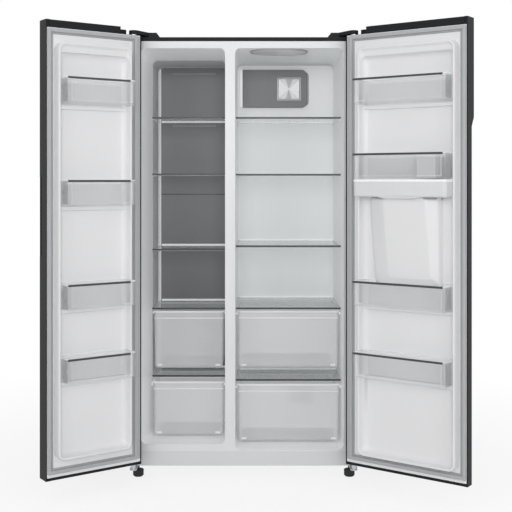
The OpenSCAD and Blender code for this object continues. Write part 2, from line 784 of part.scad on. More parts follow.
// A door's skin: closed face and edges, with returns on the inside
module door_skin(w) difference() {
    translate([0, 0, door_z0 + seam]) linear_extrude(door_z1 - door_z0 - seam) difference() {
        intersection() {
            door_plan(w, 0);
            translate([0, door_out_y]) square([w, door_t - door_liner_t]);
        }
        intersection() {
            door_plan(w, skin_t);
            translate([0, door_out_y]) square([w, door_t - door_liner_t - skin_t]);
        }
        translate([skin_return, door_out_y + door_t / 2]) square([w - 2 * skin_return, door_t]);
    }
    hinge_notch(0);
}

// The foam of a door, less its hinge bosses
module door_foam(w) difference() {
    translate([0, 0, door_z0 + foot_cap_h + seam])
        linear_extrude(door_z1 - cap_h - door_z0 - foot_cap_h - 2 * seam) intersection() {
            door_plan(w, skin_t + seam);
            translate([0, door_out_y]) square([w, door_t - door_liner_t - skin_t - seam]);
        }
    translate([pin_in, pin_y, notch_z - boss_h - seam]) cylinder(r = boss_r + seam, h = 100);
    translate([pin_in, pin_y, 0]) cylinder(r = boss_r + seam, h = door_z0 + boss_h + seam);
}

// Top and bottom closing caps with the bushes for the hinge pins
module door_caps(w) {
    difference() {
        union() {
            translate([0, 0, door_z1 - cap_h]) linear_extrude(cap_h - 1) intersection() {
                door_plan(w, skin_t + seam);
                translate([0, door_out_y]) square([w, door_t - door_liner_t - skin_t - seam]);
            }
            translate([skin_return + seam, door_in_y - 3, door_z1 - cap_h])
                cube([w - 2 * skin_return - 2 * seam, 3, cap_h - 1]);
            translate([pin_in, pin_y, notch_z - boss_h]) cylinder(r = boss_r, h = boss_h);
        }
        hinge_notch(0);
        translate([pin_in, pin_y, 0]) cylinder(r = pin_r + run_fit, h = big);
    }
    difference() {
        union() {
            translate([0, 0, door_z0]) linear_extrude(foot_cap_h) intersection() {
                door_plan(w, skin_t + seam);
                translate([0, door_out_y]) square([w, door_t - door_liner_t - skin_t - seam]);
            }
            translate([pin_in, pin_y, door_z0]) cylinder(r = boss_r, h = boss_h);
        }
        translate([pin_in, pin_y, 0]) cylinder(r = pin_r + run_fit, h = door_z0 + boss_h + cut);
    }
}

// Height of the first dyke, clear of the opening
function dyke_z(floor_z) = [floor_z + dyke_clear, ceiling - dyke_clear];

// The formed inner panel: a flange under the seal and a raised border
module door_liner(w, wall, floor_z, bins) {
    u = [wall + dyke_clear, w - dyke_free];
    z = dyke_z(floor_z);
    y = [door_in_y - door_liner_t, door_in_y];
    box([4, w - 4], y, [door_z0 + foot_cap_h, door_z1 - cap_h - seam]);
    for (x = [u[0], u[1] - dyke_w])
        box([x, x + dyke_w], [door_in_y - seam, door_in_y + dyke_h], z);
    for (zz = [z[0], z[1] - dyke_w])
        box(u, [door_in_y - seam, door_in_y + dyke_h], [zz, zz + dyke_w]);
    for (b = bins)
        box([u[0] + dyke_w - seam, u[1] - dyke_w + seam], [door_in_y - seam, door_in_y + 12],
            [b - bin_h - 18, b - bin_h - seam]);
}

// Magnetic seal, a flat ring on the inner face
module door_gasket(w) difference() {
    box([gasket_hinge, w - gasket_free], [door_in_y + seam, door_in_y + gasket_t],
        [gasket_z0, gasket_z1]);
    box([gasket_hinge + gasket_w, w - gasket_free - gasket_w], [door_in_y - cut, door_in_y + 20],
        [gasket_z0 + gasket_w, gasket_z1 - gasket_w]);
}

// One bin: an open box between the dykes
module bin(u, top) difference() {
    box(u, [door_in_y + seam, door_in_y + bin_d], [top - bin_h, top]);
    box([u[0] + bin_t, u[1] - bin_t], [door_in_y + bin_t, door_in_y + bin_d - bin_t],
        [top - bin_h + bin_t, top + cut]);
}

function bin_u(w, wall) = [wall + dyke_clear + dyke_w + seat, w - dyke_free - dyke_w - seat];

module bin_trims(u, ends, tops) for (t = tops)
    box([u[0] + ends[0], u[1] - ends[1]], [door_in_y + bin_d + seam, door_in_y + bin_d + trim_t],
        [t - trim_h, t]);

fz_bin_u = bin_u(freezer_door_w, freezer_wall);
fr_wall = half_w - fr_x1;
fr_bin_u = bin_u(fridge_door_w, fr_wall);

module grip_pocket(g) box([freezer_door_w - grip_depth - g, freezer_door_w + cut],
    [door_out_y + grip_lip - g, door_out_y + grip_lip + grip_w + g], [grip_z0 - g, grip_z1 + g]);

module freezer_door_skin() color("#3b3c3f") in_door(-1) union() {
    difference() {
        door_skin(freezer_door_w);
        grip_pocket(0);
    }
    difference() {
        intersection() {
            grip_pocket(skin_t);
            translate([0, 0, grip_z0 - 10]) linear_extrude(grip_z1 - grip_z0 + 20)
                door_plan(freezer_door_w, skin_t / 2);
        }
        grip_pocket(0);
    }
}

module freezer_door_foam() color("#e8dcae") in_door(-1) difference() {
    door_foam(freezer_door_w);
    grip_pocket(skin_t + seam);
}

module freezer_door_liner() color("#eceded") in_door(-1)
    door_liner(freezer_door_w, freezer_wall, freezer_floor, freezer_bins);

module freezer_door_gasket() color("#b4b6b8") in_door(-1) door_gasket(freezer_door_w);

module freezer_door_caps() color("#303134") in_door(-1) door_caps(freezer_door_w);

module freezer_door_bins() color("#e6eaec", 0.5) in_door(-1)
    for (t = freezer_bins) bin(fz_bin_u, t);

module freezer_bin_trims() color("#6c6e70") in_door(-1) bin_trims(fz_bin_u, fz_trim_ends, freezer_bins);

// Room that the dispenser takes in the fridge door, grown by g
module recess_room(g) box([recess_u - g, recess_u + recess_w + g],
    [door_out_y - cut, door_out_y + recess_d + g], [recess_z0 - g, recess_z1 + g]);

module fridge_door_skin() color("#3b3c3f") in_door(1) difference() {
    union() {
        difference() {
            door_skin(fridge_door_w);
            bevel(0);
        }
        intersection() {
            difference() {
                bevel(skin_t);
                bevel(0);
            }
            translate([0, 0, door_z0 + seam]) linear_extrude(bevel_top + bevel_ramp)
                door_plan(fridge_door_w, skin_t / 4);
        }
    }
    recess_room(recess_t + seam);
}

module fridge_door_foam() color("#e8dcae") in_door(1) difference() {
    door_foam(fridge_door_w);
    bevel(skin_t + seam);
    recess_room(recess_t + seam);
}

// Plan of the bulge behind the dispenser
module bulge_2d(g) polygon([[recess_u - 62 + g, bulge_z1], [recess_u - 30 + g, bulge_z0 + g],
    [recess_u + recess_w + 30 - g, bulge_z0 + g], [recess_u + recess_w + 62 - g, bulge_z1]]);

bulge_in = door_in_y + bulge_t;

module fridge_door_liner() color("#eceded") in_door(1) difference() {
    union() {
        door_liner(fridge_door_w, fr_wall, fridge_floor,
            [for (b = fridge_bins) if (b - bin_h > tank_top + 20 || b < tank_top) b]);
        along_y([door_in_y - seam, bulge_in]) bulge_2d(0);
    }
    recess_room(recess_t + seam);
}

module fridge_door_gasket() color("#b4b6b8") in_door(1) door_gasket(fridge_door_w);

module fridge_door_caps() color("#303134") in_door(1) difference() {
    door_caps(fridge_door_w);
    bevel(skin_t + seam);
}

module fridge_door_bins() color("#e6eaec", 0.5) in_door(1) for (t = fridge_bins) bin(fr_bin_u, t);

module fridge_bin_trims() color("#6c6e70") in_door(1) bin_trims(fr_bin_u, fr_trim_ends, fridge_bins);

module water_tank() color("#dfe6e8", 0.6) in_door(1) {
    y = [door_in_y + seam, door_in_y + bin_d - 2];
    z = [tank_top - tank_h, tank_top];
    difference() {
        box(fr_bin_u, y, z);
        box([fr_bin_u[0] + 3, fr_bin_u[1] - 3], [y[0] + 3, y[1] - 3], [z[0] + 3, z[1] + cut]);
    }
    translate([recess_u + recess_w / 2, door_in_y + 30, z[0] - 5]) cylinder(r = 9, h = 6);
}

module tank_lid() color("#f0f1f1") in_door(1) {
    y = [door_in_y + seam, door_in_y + bin_d + 1];
    box(fr_bin_u, y, [tank_top + seam, tank_top + lid_t]);
    box([fr_bin_u[0] + 3.5, fr_bin_u[1] - 3.5], [y[0] + 3.5, y[1] - 6.5],
        [tank_top - 4, tank_top + 1]);
}

// Clear box with a lid that stands in a bin
module bin_box() color("#e6eaec", 0.5) in_door(1) {
    u = [fr_bin_u[1] - box_free - box_w, fr_bin_u[1] - box_free];
    y = [door_in_y + 26, door_in_y + bin_d - 6];
    z0 = fridge_bins[box_bin] - bin_h + bin_t + seat;
    difference() {
        box(u, y, [z0, z0 + box_h - box_lid]);
        box([u[0] + box_t, u[1] - box_t], [y[0] + box_t, y[1] - box_t], [z0 + box_t, z0 + box_h]);
    }
    box([u[0] - 2, u[1] + 2], [y[0] - 2, y[1] + 2],
        [z0 + box_h - box_lid + seam, z0 + box_h]);
}

// Dispenser tub, open to the front, with eyes for the lever pin
module dispenser_recess() color("#2b2c2f") in_door(1) {
    u = [recess_u, recess_u + recess_w];
    difference() {
        box([u[0] - recess_t, u[1] + recess_t], [door_out_y, door_out_y + recess_d + recess_t],
            [recess_z0 - recess_t, recess_z1 + recess_t]);
        box(u, [door_out_y - cut, door_out_y + recess_d], [recess_z0, recess_z1]);
    }
    mid = recess_u + recess_w / 2;
    for (x = [mid - lever_w / 2 - 6, mid + lever_w / 2 + 1]) difference() {
        box([x, x + 5], [lever_pin_y - 7, lever_pin_y + 7], [lever_pin_z - 7, recess_z1 + 1]);
        translate([x - cut, lever_pin_y, lever_pin_z]) rotate([0, 90, 0])
            cylinder(r = lever_pin_r + run_fit, h = 8);
    }
}

// Paddle that a glass pushes back, with its pin
module dispenser_lever() color("#1c1d1f") in_door(1) {
    mid = recess_u + recess_w / 2;
    translate([mid - lever_w / 2 - 5, lever_pin_y, lever_pin_z]) rotate([0, 90, 0])
        cylinder(r = lever_pin_r, h = lever_w + 10);
    box([mid - lever_w / 2, mid + lever_w / 2], [lever_pin_y - lever_t, lever_pin_y + lever_t],
        [lever_pin_z - 6, lever_pin_z + 5]);
    box([mid - lever_w / 2, mid + lever_w / 2], [lever_pin_y - lever_t / 2, lever_pin_y + lever_t / 2],
        [recess_z0 + 110, lever_pin_z - 5]);
}

// Frame, spout cover, drip grille and touch panel round the dispenser
module dispenser_front() color("#1d1e20") in_door(1) {
    u = [recess_u - 14, recess_u + recess_w + 14];
    y = [door_out_y - 2, door_out_y - seam];
    difference() {
        box(u, y, [recess_z0 - 14, recess_z1 + 60]);
        box([recess_u, recess_u + recess_w], [y[0] - cut, y[1] + cut], [recess_z0, recess_z1]);
    }
    difference() {
        box([recess_u + seat, recess_u + recess_w - seat], [door_out_y + 1, door_out_y + recess_d - 2],
            [recess_z0 + seam, recess_z0 + 10]);
        for (i = [0 : 10]) box([recess_u + 12 + i * 15.5, recess_u + 20 + i * 15.5],
            [door_out_y + 10, door_out_y + recess_d - 12], [recess_z0 + 3, recess_z0 + 10 + cut]);
    }
}

cabinet_shell();
back_panel();
cabinet_foam();
front_frame();
kick_plate();
base_pan();
freezer_liner();
fridge_liner();
machine_bay();
machine_cover();
freezer_back_panel();
evaporator();
fan_motors();
evaporator_fan();
freezer_shelf_glass();
fridge_shelf_glass();
shelf_trims();
drawer_runners();
air_duct_cover();
duct_fascia();
air_outlet_plate();
ceiling_lamp();
crisper_vent();
freezer_drawer_upper();
freezer_drawer_lower();
crisper_upper();
crisper_lower();
compressor();
compressor_mounts();
condenser();
condenser_fan();
evaporation_tray();
front_foot_left();
front_foot_right();
rear_roller_left();
rear_roller_right();
roller_brackets();
hinges();
hinge_covers();
fasteners();
bin_box();
freezer_door_skin();
freezer_door_foam();
freezer_door_liner();
freezer_door_gasket();
freezer_door_caps();
freezer_door_bins();
freezer_bin_trims();
fridge_door_skin();
fridge_door_foam();
fridge_door_liner();
fridge_door_gasket();
fridge_door_caps();
fridge_door_bins();
fridge_bin_trims();
water_tank();
tank_lid();
dispenser_recess();
dispenser_lever();
dispenser_front();
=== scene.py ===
"""Finished look of a side by side refrigerator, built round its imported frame."""

import json
import math

import bmesh
import bpy
from mathutils import Matrix, Vector

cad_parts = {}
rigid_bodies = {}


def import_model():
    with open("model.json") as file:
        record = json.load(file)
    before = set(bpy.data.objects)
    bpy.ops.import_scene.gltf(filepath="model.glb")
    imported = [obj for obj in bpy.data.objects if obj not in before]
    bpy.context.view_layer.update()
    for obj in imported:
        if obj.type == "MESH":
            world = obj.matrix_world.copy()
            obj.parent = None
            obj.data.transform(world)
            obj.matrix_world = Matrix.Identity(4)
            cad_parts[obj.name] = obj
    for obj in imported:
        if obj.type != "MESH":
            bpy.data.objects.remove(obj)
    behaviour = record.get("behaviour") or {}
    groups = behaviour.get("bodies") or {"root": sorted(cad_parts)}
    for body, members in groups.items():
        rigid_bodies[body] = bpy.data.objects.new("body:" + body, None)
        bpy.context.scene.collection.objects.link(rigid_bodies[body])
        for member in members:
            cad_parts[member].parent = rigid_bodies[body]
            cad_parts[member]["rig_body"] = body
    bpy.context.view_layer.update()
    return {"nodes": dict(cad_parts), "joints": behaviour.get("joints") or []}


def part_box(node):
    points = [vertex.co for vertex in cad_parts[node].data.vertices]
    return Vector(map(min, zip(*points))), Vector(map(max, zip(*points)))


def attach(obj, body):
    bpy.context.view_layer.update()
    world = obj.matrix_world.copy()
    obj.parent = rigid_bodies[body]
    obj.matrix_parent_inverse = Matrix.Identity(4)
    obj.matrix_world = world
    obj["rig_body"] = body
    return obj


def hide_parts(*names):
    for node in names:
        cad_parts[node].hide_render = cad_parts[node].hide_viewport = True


bl_info = {
    "name": "Side by Side Refrigerator",
    "version": (1, 0, 0),
    "blender": (4, 5, 0),
    "location": "View3D > Sidebar > Refrigerator",
    "description": "Finished pieces of a side by side refrigerator",
    "category": "Object",
}

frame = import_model()
MM = 0.001
DOORS = {"freezer_door": -1, "fridge_door": 1}  # the side on which each one hangs
SHELF_GAP = 20  # points nearer in height than this belong to one shelf, in millimetres
BIN_GAP = 120  # and these to one door bin
TANK_GAP = 60  # and these to the water tank


# --- places taken from the frame -------------------------------------------------------------


def node_box(node):
    """Lowest and highest corner of a node, in millimetres."""
    low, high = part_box(node)
    return low / MM, high / MM


def hinge(door):
    """Pin and opening angle of a door, as it stands at rest."""
    joint = next(j for j in frame["joints"] if j["child"] == door)
    return Vector(joint["pos_m"]) / MM, math.radians(-min(joint["range_deg"]))


def door_place(door):
    """Matrix from a shut door's own sizes, hinge edge at X = 0, to its open place."""
    side = DOORS[door]
    pin, angle = hinge(door)
    pin.z = 0
    half = node_box("cabinet_shell")[1].x
    turn = Matrix.Rotation(side * angle, 4, "Z")
    flip = Matrix.Scale(-side, 4, (1, 0, 0))
    edge = Matrix.Translation((side * half, 0, 0))
    return Matrix.Translation(pin) @ turn @ Matrix.Translation(-pin) @ edge @ flip


def door_points(node, door):
    """A door node's points in the door's own sizes, in millimetres."""
    back = door_place(door).inverted()
    return [back @ (v.co / MM) for v in frame["nodes"][node].data.vertices]


def door_box(node, door):
    """Spans in X, Y and Z of a door node, in the door's own sizes."""
    points = door_points(node, door)
    return [(min(p[i] for p in points), max(p[i] for p in points)) for i in range(3)]


def levels(points, gap):
    """Spans in Z of what stands one above the other with at least that gap between."""
    heights = sorted({round(p.z, 2) for p in points})
    spans = [[heights[0], heights[0]]]
    for z in heights:
        if z - spans[-1][1] > gap:
            spans.append([z, z])
        spans[-1][1] = z
    return spans


def node_levels(node, gap):
    """Spans in Z of a node's separate solids."""
    return levels([v.co / MM for v in frame["nodes"][node].data.vertices], gap)


# --- sizes and colours that a user may change ------------------------------------------------


class FridgeSizes(bpy.types.PropertyGroup):
    """Roundings and details of the finished pieces."""

    edge: bpy.props.FloatProperty(
        name="Edge rounding", description="Rounding of moulded edges, in millimetres",
        default=0.8, min=0.1, max=3)
    door_fillet: bpy.props.FloatProperty(
        name="Door liner fillet",
        description="Hollow at the foot of the door liner's border, in millimetres",
        default=24, min=6, max=40)
    liner_corner: bpy.props.FloatProperty(
        name="Door liner corner",
        description="Corner radius of the door liner's border, in millimetres",
        default=30, min=8, max=60)
    bin_corner: bpy.props.FloatProperty(
        name="Bin corner", description="Radius of the door bins' front corners, in millimetres",
        default=14, min=4, max=30)
    drawer_corner: bpy.props.FloatProperty(
        name="Drawer corner", description="Radius of the drawers' upright corners, in millimetres",
        default=12, min=4, max=30)
    slat_pitch: bpy.props.FloatProperty(
        name="Rib pitch",
        description="Distance between the ribs on the bins' ends, in millimetres",
        default=4, min=2, max=10)


def colour_property(label, text, value):
    """Colour that a user may change."""
    return bpy.props.FloatVectorProperty(
        name=label, description=text, subtype="COLOR", size=3, min=0, max=1, default=value)


def shade(code):
    """Linear colour of a six digit sRGB code."""
    parts = [int(code[i:i + 2], 16) / 255 for i in (0, 2, 4)]
    return tuple(c / 12.92 if c <= 0.04045 else ((c + 0.055) / 1.055) ** 2.4 for c in parts)


class FridgeColours(bpy.types.PropertyGroup):
    """Main colours of the finished pieces."""

    steel: colour_property("Steel", "Painted steel of the doors and the cabinet", shade("16171a"))
    white: colour_property("White", "Door liners and the front frame", shade("ececed"))
    liner: colour_property("Liner", "Walls inside the compartments", shade("f0f1f2"))
    panel: colour_property("Panel", "Dark panels at the back of the compartments", shade("787a7c"))
    clear: colour_property("Clear plastic", "Bins and drawers", shade("eff1f3"))
    trim: colour_property("Trim", "Front trims of shelves and bins", shade("444648"))
    seal: colour_property("Seal", "Magnetic door seals", shade("b4b6b8"))


# --- finishes --------------------------------------------------------------------------------

GRAIN_SPREAD = 12  # the colour varies this much coarser than the grain, the gloss finer
RELIEF = 0.0004  # height of a finish's relief, in metres
# painted reflection of the spun plate: bright lobes at its sides and dark ones above and below,
# with finer streaks of grain between
SHEEN_RAYS = [(0, .97), (.05, .8), (.09, .93), (.14, .72), (.17, .82), (.21, .52), (.25, .5),
        (.29, .47), (.33, .74), (.37, .68), (.42, .95), (.46, .82), (.5, .97), (.55, .78),
        (.6, .94), (.64, .7), (.68, .8), (.72, .5), (.75, .46), (.79, .55), (.83, .78),
        (.87, .7), (.92, .95), (.96, .84), (1, .97)]  # share of a turn, brightness

made = {}


def link(tree, a, b):
    """Joins an output to an input."""
    tree.links.new(a, b)


def add_node(tree, kind, inputs=None, **settings):
    """New node of a tree with its settings and the values of its inputs."""
    node = tree.nodes.new(kind)
    for name, value in settings.items():
        setattr(node, name, value)
    for name, value in (inputs or {}).items():
        node.inputs[name].default_value = value
    return node


def finish(name, colour, rough=0.4, metal=0.0, grain=60.0, spread=0.04, rough_spread=0.06,
           bump=0.05, stretch=(1, 1, 1), alpha=1.0, glow=0.0, specular=0.4, **sockets):
    """A finish with slow colour variation, uneven gloss and a fine relief, all by noise."""
    if name in made:
        return made[name]
    material = bpy.data.materials.new(name)
    material.use_nodes = True
    tree = material.node_tree
    shader = tree.nodes["Principled BSDF"]
    shader.inputs["Metallic"].default_value = metal
    shader.inputs["Alpha"].default_value = alpha
    shader.inputs["Specular IOR Level"].default_value = specular
    for socket, value in sockets.items():
        shader.inputs[socket.replace("_", " ")].default_value = value
    place = add_node(tree, "ShaderNodeTexCoord")
    scale = add_node(tree, "ShaderNodeMapping", {"Scale": stretch})
    slow = add_node(tree, "ShaderNodeTexNoise", {"Scale": grain / GRAIN_SPREAD, "Detail": 3})
    fine = add_node(tree, "ShaderNodeTexNoise", {"Scale": grain * GRAIN_SPREAD, "Detail": 4})
    low, high = (tuple(min(1, c * (1 + s)) for c in colour) + (1,) for s in (-spread, spread))
    mix = add_node(tree, "ShaderNodeMix", {"A": low, "B": high}, data_type="RGBA")
    gloss = add_node(tree, "ShaderNodeMapRange", {"To Min": max(0.02, rough - rough_spread),
                                                  "To Max": min(1, rough + rough_spread)})
    relief = add_node(tree, "ShaderNodeBump", {"Strength": bump, "Distance": RELIEF})
    link(tree, place.outputs["Object"], scale.inputs["Vector"])
    for noise in (slow, fine):
        link(tree, scale.outputs["Vector"], noise.inputs["Vector"])
    link(tree, slow.outputs["Fac"], mix.inputs["Factor"])
    link(tree, mix.outputs["Result"], shader.inputs["Base Color"])
    link(tree, fine.outputs["Fac"], gloss.inputs["Value"])
    link(tree, gloss.outputs["Result"], shader.inputs["Roughness"])
    link(tree, fine.outputs["Fac"], relief.inputs["Height"])
    link(tree, relief.outputs["Normal"], shader.inputs["Normal"])
    # glow: the surface gives off light in its own colour though it is no lamp, painted light
    if glow:
        link(tree, mix.outputs["Result"], shader.inputs["Emission Color"])
        shader.inputs["Emission Strength"].default_value = glow
    made[name] = material
    return material


def spun_finish(name, centre):
    """Spun plate: light and dark rays round a centre, facing the front; the broad lobes are a
    painted reflection, the finer rays the spinning's grain, and the plate glows as painted light.
    """
    material = finish(name, shade("d6d8da"), rough=0.5, grain=90, bump=0.04, specular=0.1,
                      glow=0.2)
    tree = material.node_tree
    shader = tree.nodes["Principled BSDF"]
    place = add_node(tree, "ShaderNodeTexCoord")
    turn = add_node(tree, "ShaderNodeMapping", vector_type="TEXTURE")
    turn.inputs["Location"].default_value = centre
    turn.inputs["Rotation"].default_value = (math.radians(-90), 0, 0)
    rays = add_node(tree, "ShaderNodeTexGradient", gradient_type="RADIAL")
    ramp = add_node(tree, "ShaderNodeValToRGB")
    points = ramp.color_ramp.elements
    while len(points) < len(SHEEN_RAYS):
        points.new(0.5)
    for point, (at, value) in zip(points, SHEEN_RAYS):
        point.position = at
        point.color = (value, value, value * 1.01, 1)
    link(tree, place.outputs["Object"], turn.inputs["Vector"])
    link(tree, turn.outputs["Vector"], rays.inputs["Vector"])
    link(tree, rays.outputs["Color"], ramp.inputs["Fac"])
    link(tree, ramp.outputs["Color"], shader.inputs["Base Color"])
    # the rays glow as well, painted light
    link(tree, ramp.outputs["Color"], shader.inputs["Emission Color"])
    return material


def finishes():
    """Every finish by its name."""
    c = bpy.context.scene.fridge_colours
    kinds = {
        "dark_steel": dict(colour=c.steel, rough=0.5, grain=40, spread=0.06, bump=0.06,
                           stretch=(1, 1, 0.04), specular=0.16),
        "black_plastic": dict(colour=shade("1b1c1e"), rough=0.5, grain=90, bump=0.25,
                              specular=0.16),
        "back_steel": dict(colour=shade("8d9092"), rough=0.45, metal=0.6, bump=0.12),
        "foam": dict(colour=shade("e8dcae"), rough=0.9, grain=50, spread=0.1, bump=0.8),
        "frame_white": dict(colour=shade("e6e7e8"), rough=0.32, grain=30, bump=0.04),
        "apron_white": dict(colour=shade("dcddde"), rough=0.36, grain=30),
        "liner_white": dict(colour=c.white, rough=0.38, grain=24, spread=0.02, bump=0.06),
        # the liner glows a little, painted light that brightens the compartments' walls and
        # ceilings, the ledges and the duct cover
        "liner_wall": dict(colour=c.liner, grain=24, spread=0.025, bump=0.06, glow=0.07),
        # painted shade: grey for the shadow band at the fascia's right end, the dark behind the
        # freezer panel's slots and the hollow round the lamp
        "painted_shade_grey": dict(colour=shade("a6a8aa"), rough=0.42, grain=24, bump=0.06),
        # painted shade: grey of the freezer's deep walls and ceiling, where little light reaches
        "freezer_shade_grey": dict(colour=shade("dcdee0"), rough=0.42, grain=24, bump=0.06),
        "plated_steel": dict(colour=shade("c2c4c6"), rough=0.3, metal=0.9, grain=80,
                             spread=0.08, bump=0.1),
        "panel_grey": dict(colour=c.panel, rough=0.42, metal=0.1, grain=30, spread=0.05,
                           bump=0.08, stretch=(1, 1, 0.06)),
        "fin_aluminium": dict(colour=shade("c4c7c9"), rough=0.35, metal=0.9, grain=80,
                              spread=0.1),
        "motor_black": dict(colour=shade("3a3b3d"), rough=0.5, grain=80, bump=0.3),
        "fan_white": dict(colour=shade("e2e3e3"), bump=0.1),
        "shelf_glass": dict(colour=shade("c6d2d0"), rough=0.06, grain=20, spread=0.02,
                            rough_spread=0.02, bump=0.01, alpha=0.22, specular=0.5),
        "glass_edge": dict(colour=shade("d4dcda"), rough=0.12, grain=40, bump=0.02,
                           alpha=0.85),
        "trim_grey": dict(colour=c.trim, rough=0.34, metal=0.3, spread=0.06, bump=0.06),
        "clear_plastic": dict(colour=c.clear, rough=0.12, grain=18, spread=0.02,
                              rough_spread=0.04, bump=0.02, alpha=0.1, specular=0.3),
        # the clear rims glow a little, a painted highlight along their edges
        "clear_edge": dict(colour=shade("f6f7f8"), rough=0.16, grain=30, spread=0.03,
                           bump=0.02, alpha=0.5, specular=0.5, glow=0.1),
        # glows a little, painted light that lightens the drawers and the small box
        "drawer_plastic": dict(colour=shade("fafbfc"), rough=0.2, grain=18, spread=0.02,
                               rough_spread=0.04, bump=0.02, alpha=0.3, glow=0.05),
        "clear_frost": dict(colour=shade("d2d5d7"), rough=0.5, grain=120, spread=0.08,
                            bump=0.3, alpha=0.3),
        "outlet_chrome": dict(colour=shade("9b9da0"), rough=0.34, metal=0.3, specular=0.3),
        "lamp_white": dict(colour=shade("e6e6e4"), rough=0.25, bump=0.1, stretch=(1, 6, 1)),
        "vent_grey": dict(colour=shade("cfd1d2"), bump=0.1),
        "shell_black": dict(colour=shade("2c2d2f"), metal=0.2, spread=0.1, bump=0.2),
        "rubber_black": dict(colour=shade("222324"), rough=0.7, grain=120, bump=0.5),
        "seal_grey": dict(colour=c.seal, rough=0.55, grain=70, spread=0.05, bump=0.2),
        # painted shadow: darker grey of the seal's inner lip, for the shadow line between seal and
        # liner
        "seal_shadow_grey": dict(colour=shade("a6a8aa"), rough=0.6, grain=70, spread=0.05, bump=0.2),
        "tank_plastic": dict(colour=shade("f2f3f4"), rough=0.3, grain=30, bump=0.06,
                             alpha=0.8, specular=0.3),
        "panel_black": dict(colour=shade("17181a"), rough=0.12, grain=30, bump=0.02,
                            Coat_Weight=0.5, Coat_Roughness=0.06),
        # glows, a painted highlight: the freezer's corner strip, the fascia's end strip and the
        # shelves' rear rails
        "painted_highlight_white": dict(colour=shade("f4f5f6"), rough=0.3, grain=40, bump=0.04, glow=0.2),
        # glows a little, painted light that brightens the tank's lid
        "lid_white": dict(colour=shade("f6f7f8"), rough=0.34, grain=40, bump=0.04, glow=0.1),
    }
    return {name: finish(name, **kind) for name, kind in kinds.items()}


# --- shapes, drawn in millimetres ------------------------------------------------------------

TURN = {
    "x": lambda a, b, h: (h, a, b),
    "y": lambda a, b, h: (a, h, b),
    "z": lambda a, b, h: (a, b, h),
}


SMOOTH = 35  # steeper edges than this many degrees stay sharp


def four(radii):
    """One radius for each of four corners."""
    return radii if isinstance(radii, (list, tuple)) else [radii] * 4


def round_outline(a, b, radii, count=6):
    """Rectangle with its own radius at each corner, from (low, low) round to (low, high)."""
    limit = min(a[1] - a[0], b[1] - b[0]) / 2.001  # just under half, so no two points meet
    corners = [(a[0], b[0], 1, 1, 180), (a[1], b[0], -1, 1, 270),
               (a[1], b[1], -1, -1, 0), (a[0], b[1], 1, -1, 90)]
    points = []
    for (x, y, sx, sy, start), r in zip(corners, four(radii)):
        r = min(max(r, 0.05), limit)
        for i in range(count + 1):
            t = math.radians(start + 90 * i / count)
            points.append((x + sx * r + r * math.cos(t), y + sy * r + r * math.sin(t)))
    return points


def arc(count, start=0.0, stop=90.0):
    """Sine and cosine pairs over an arc."""
    angles = [math.radians(start + (stop - start) * i / count) for i in range(count + 1)]
    return [(math.sin(t), math.cos(t)) for t in angles]


def rounded_ends(h, edge):
    """Steps (inset, height) of a bar from one rounded end to the other."""
    low = [(edge * (1 - s), h[0] + edge * (1 - c)) for s, c in arc(3)]
    high = [(edge * (1 - s), h[1] - edge * (1 - c)) for s, c in reversed(arc(3))]
    return low + high


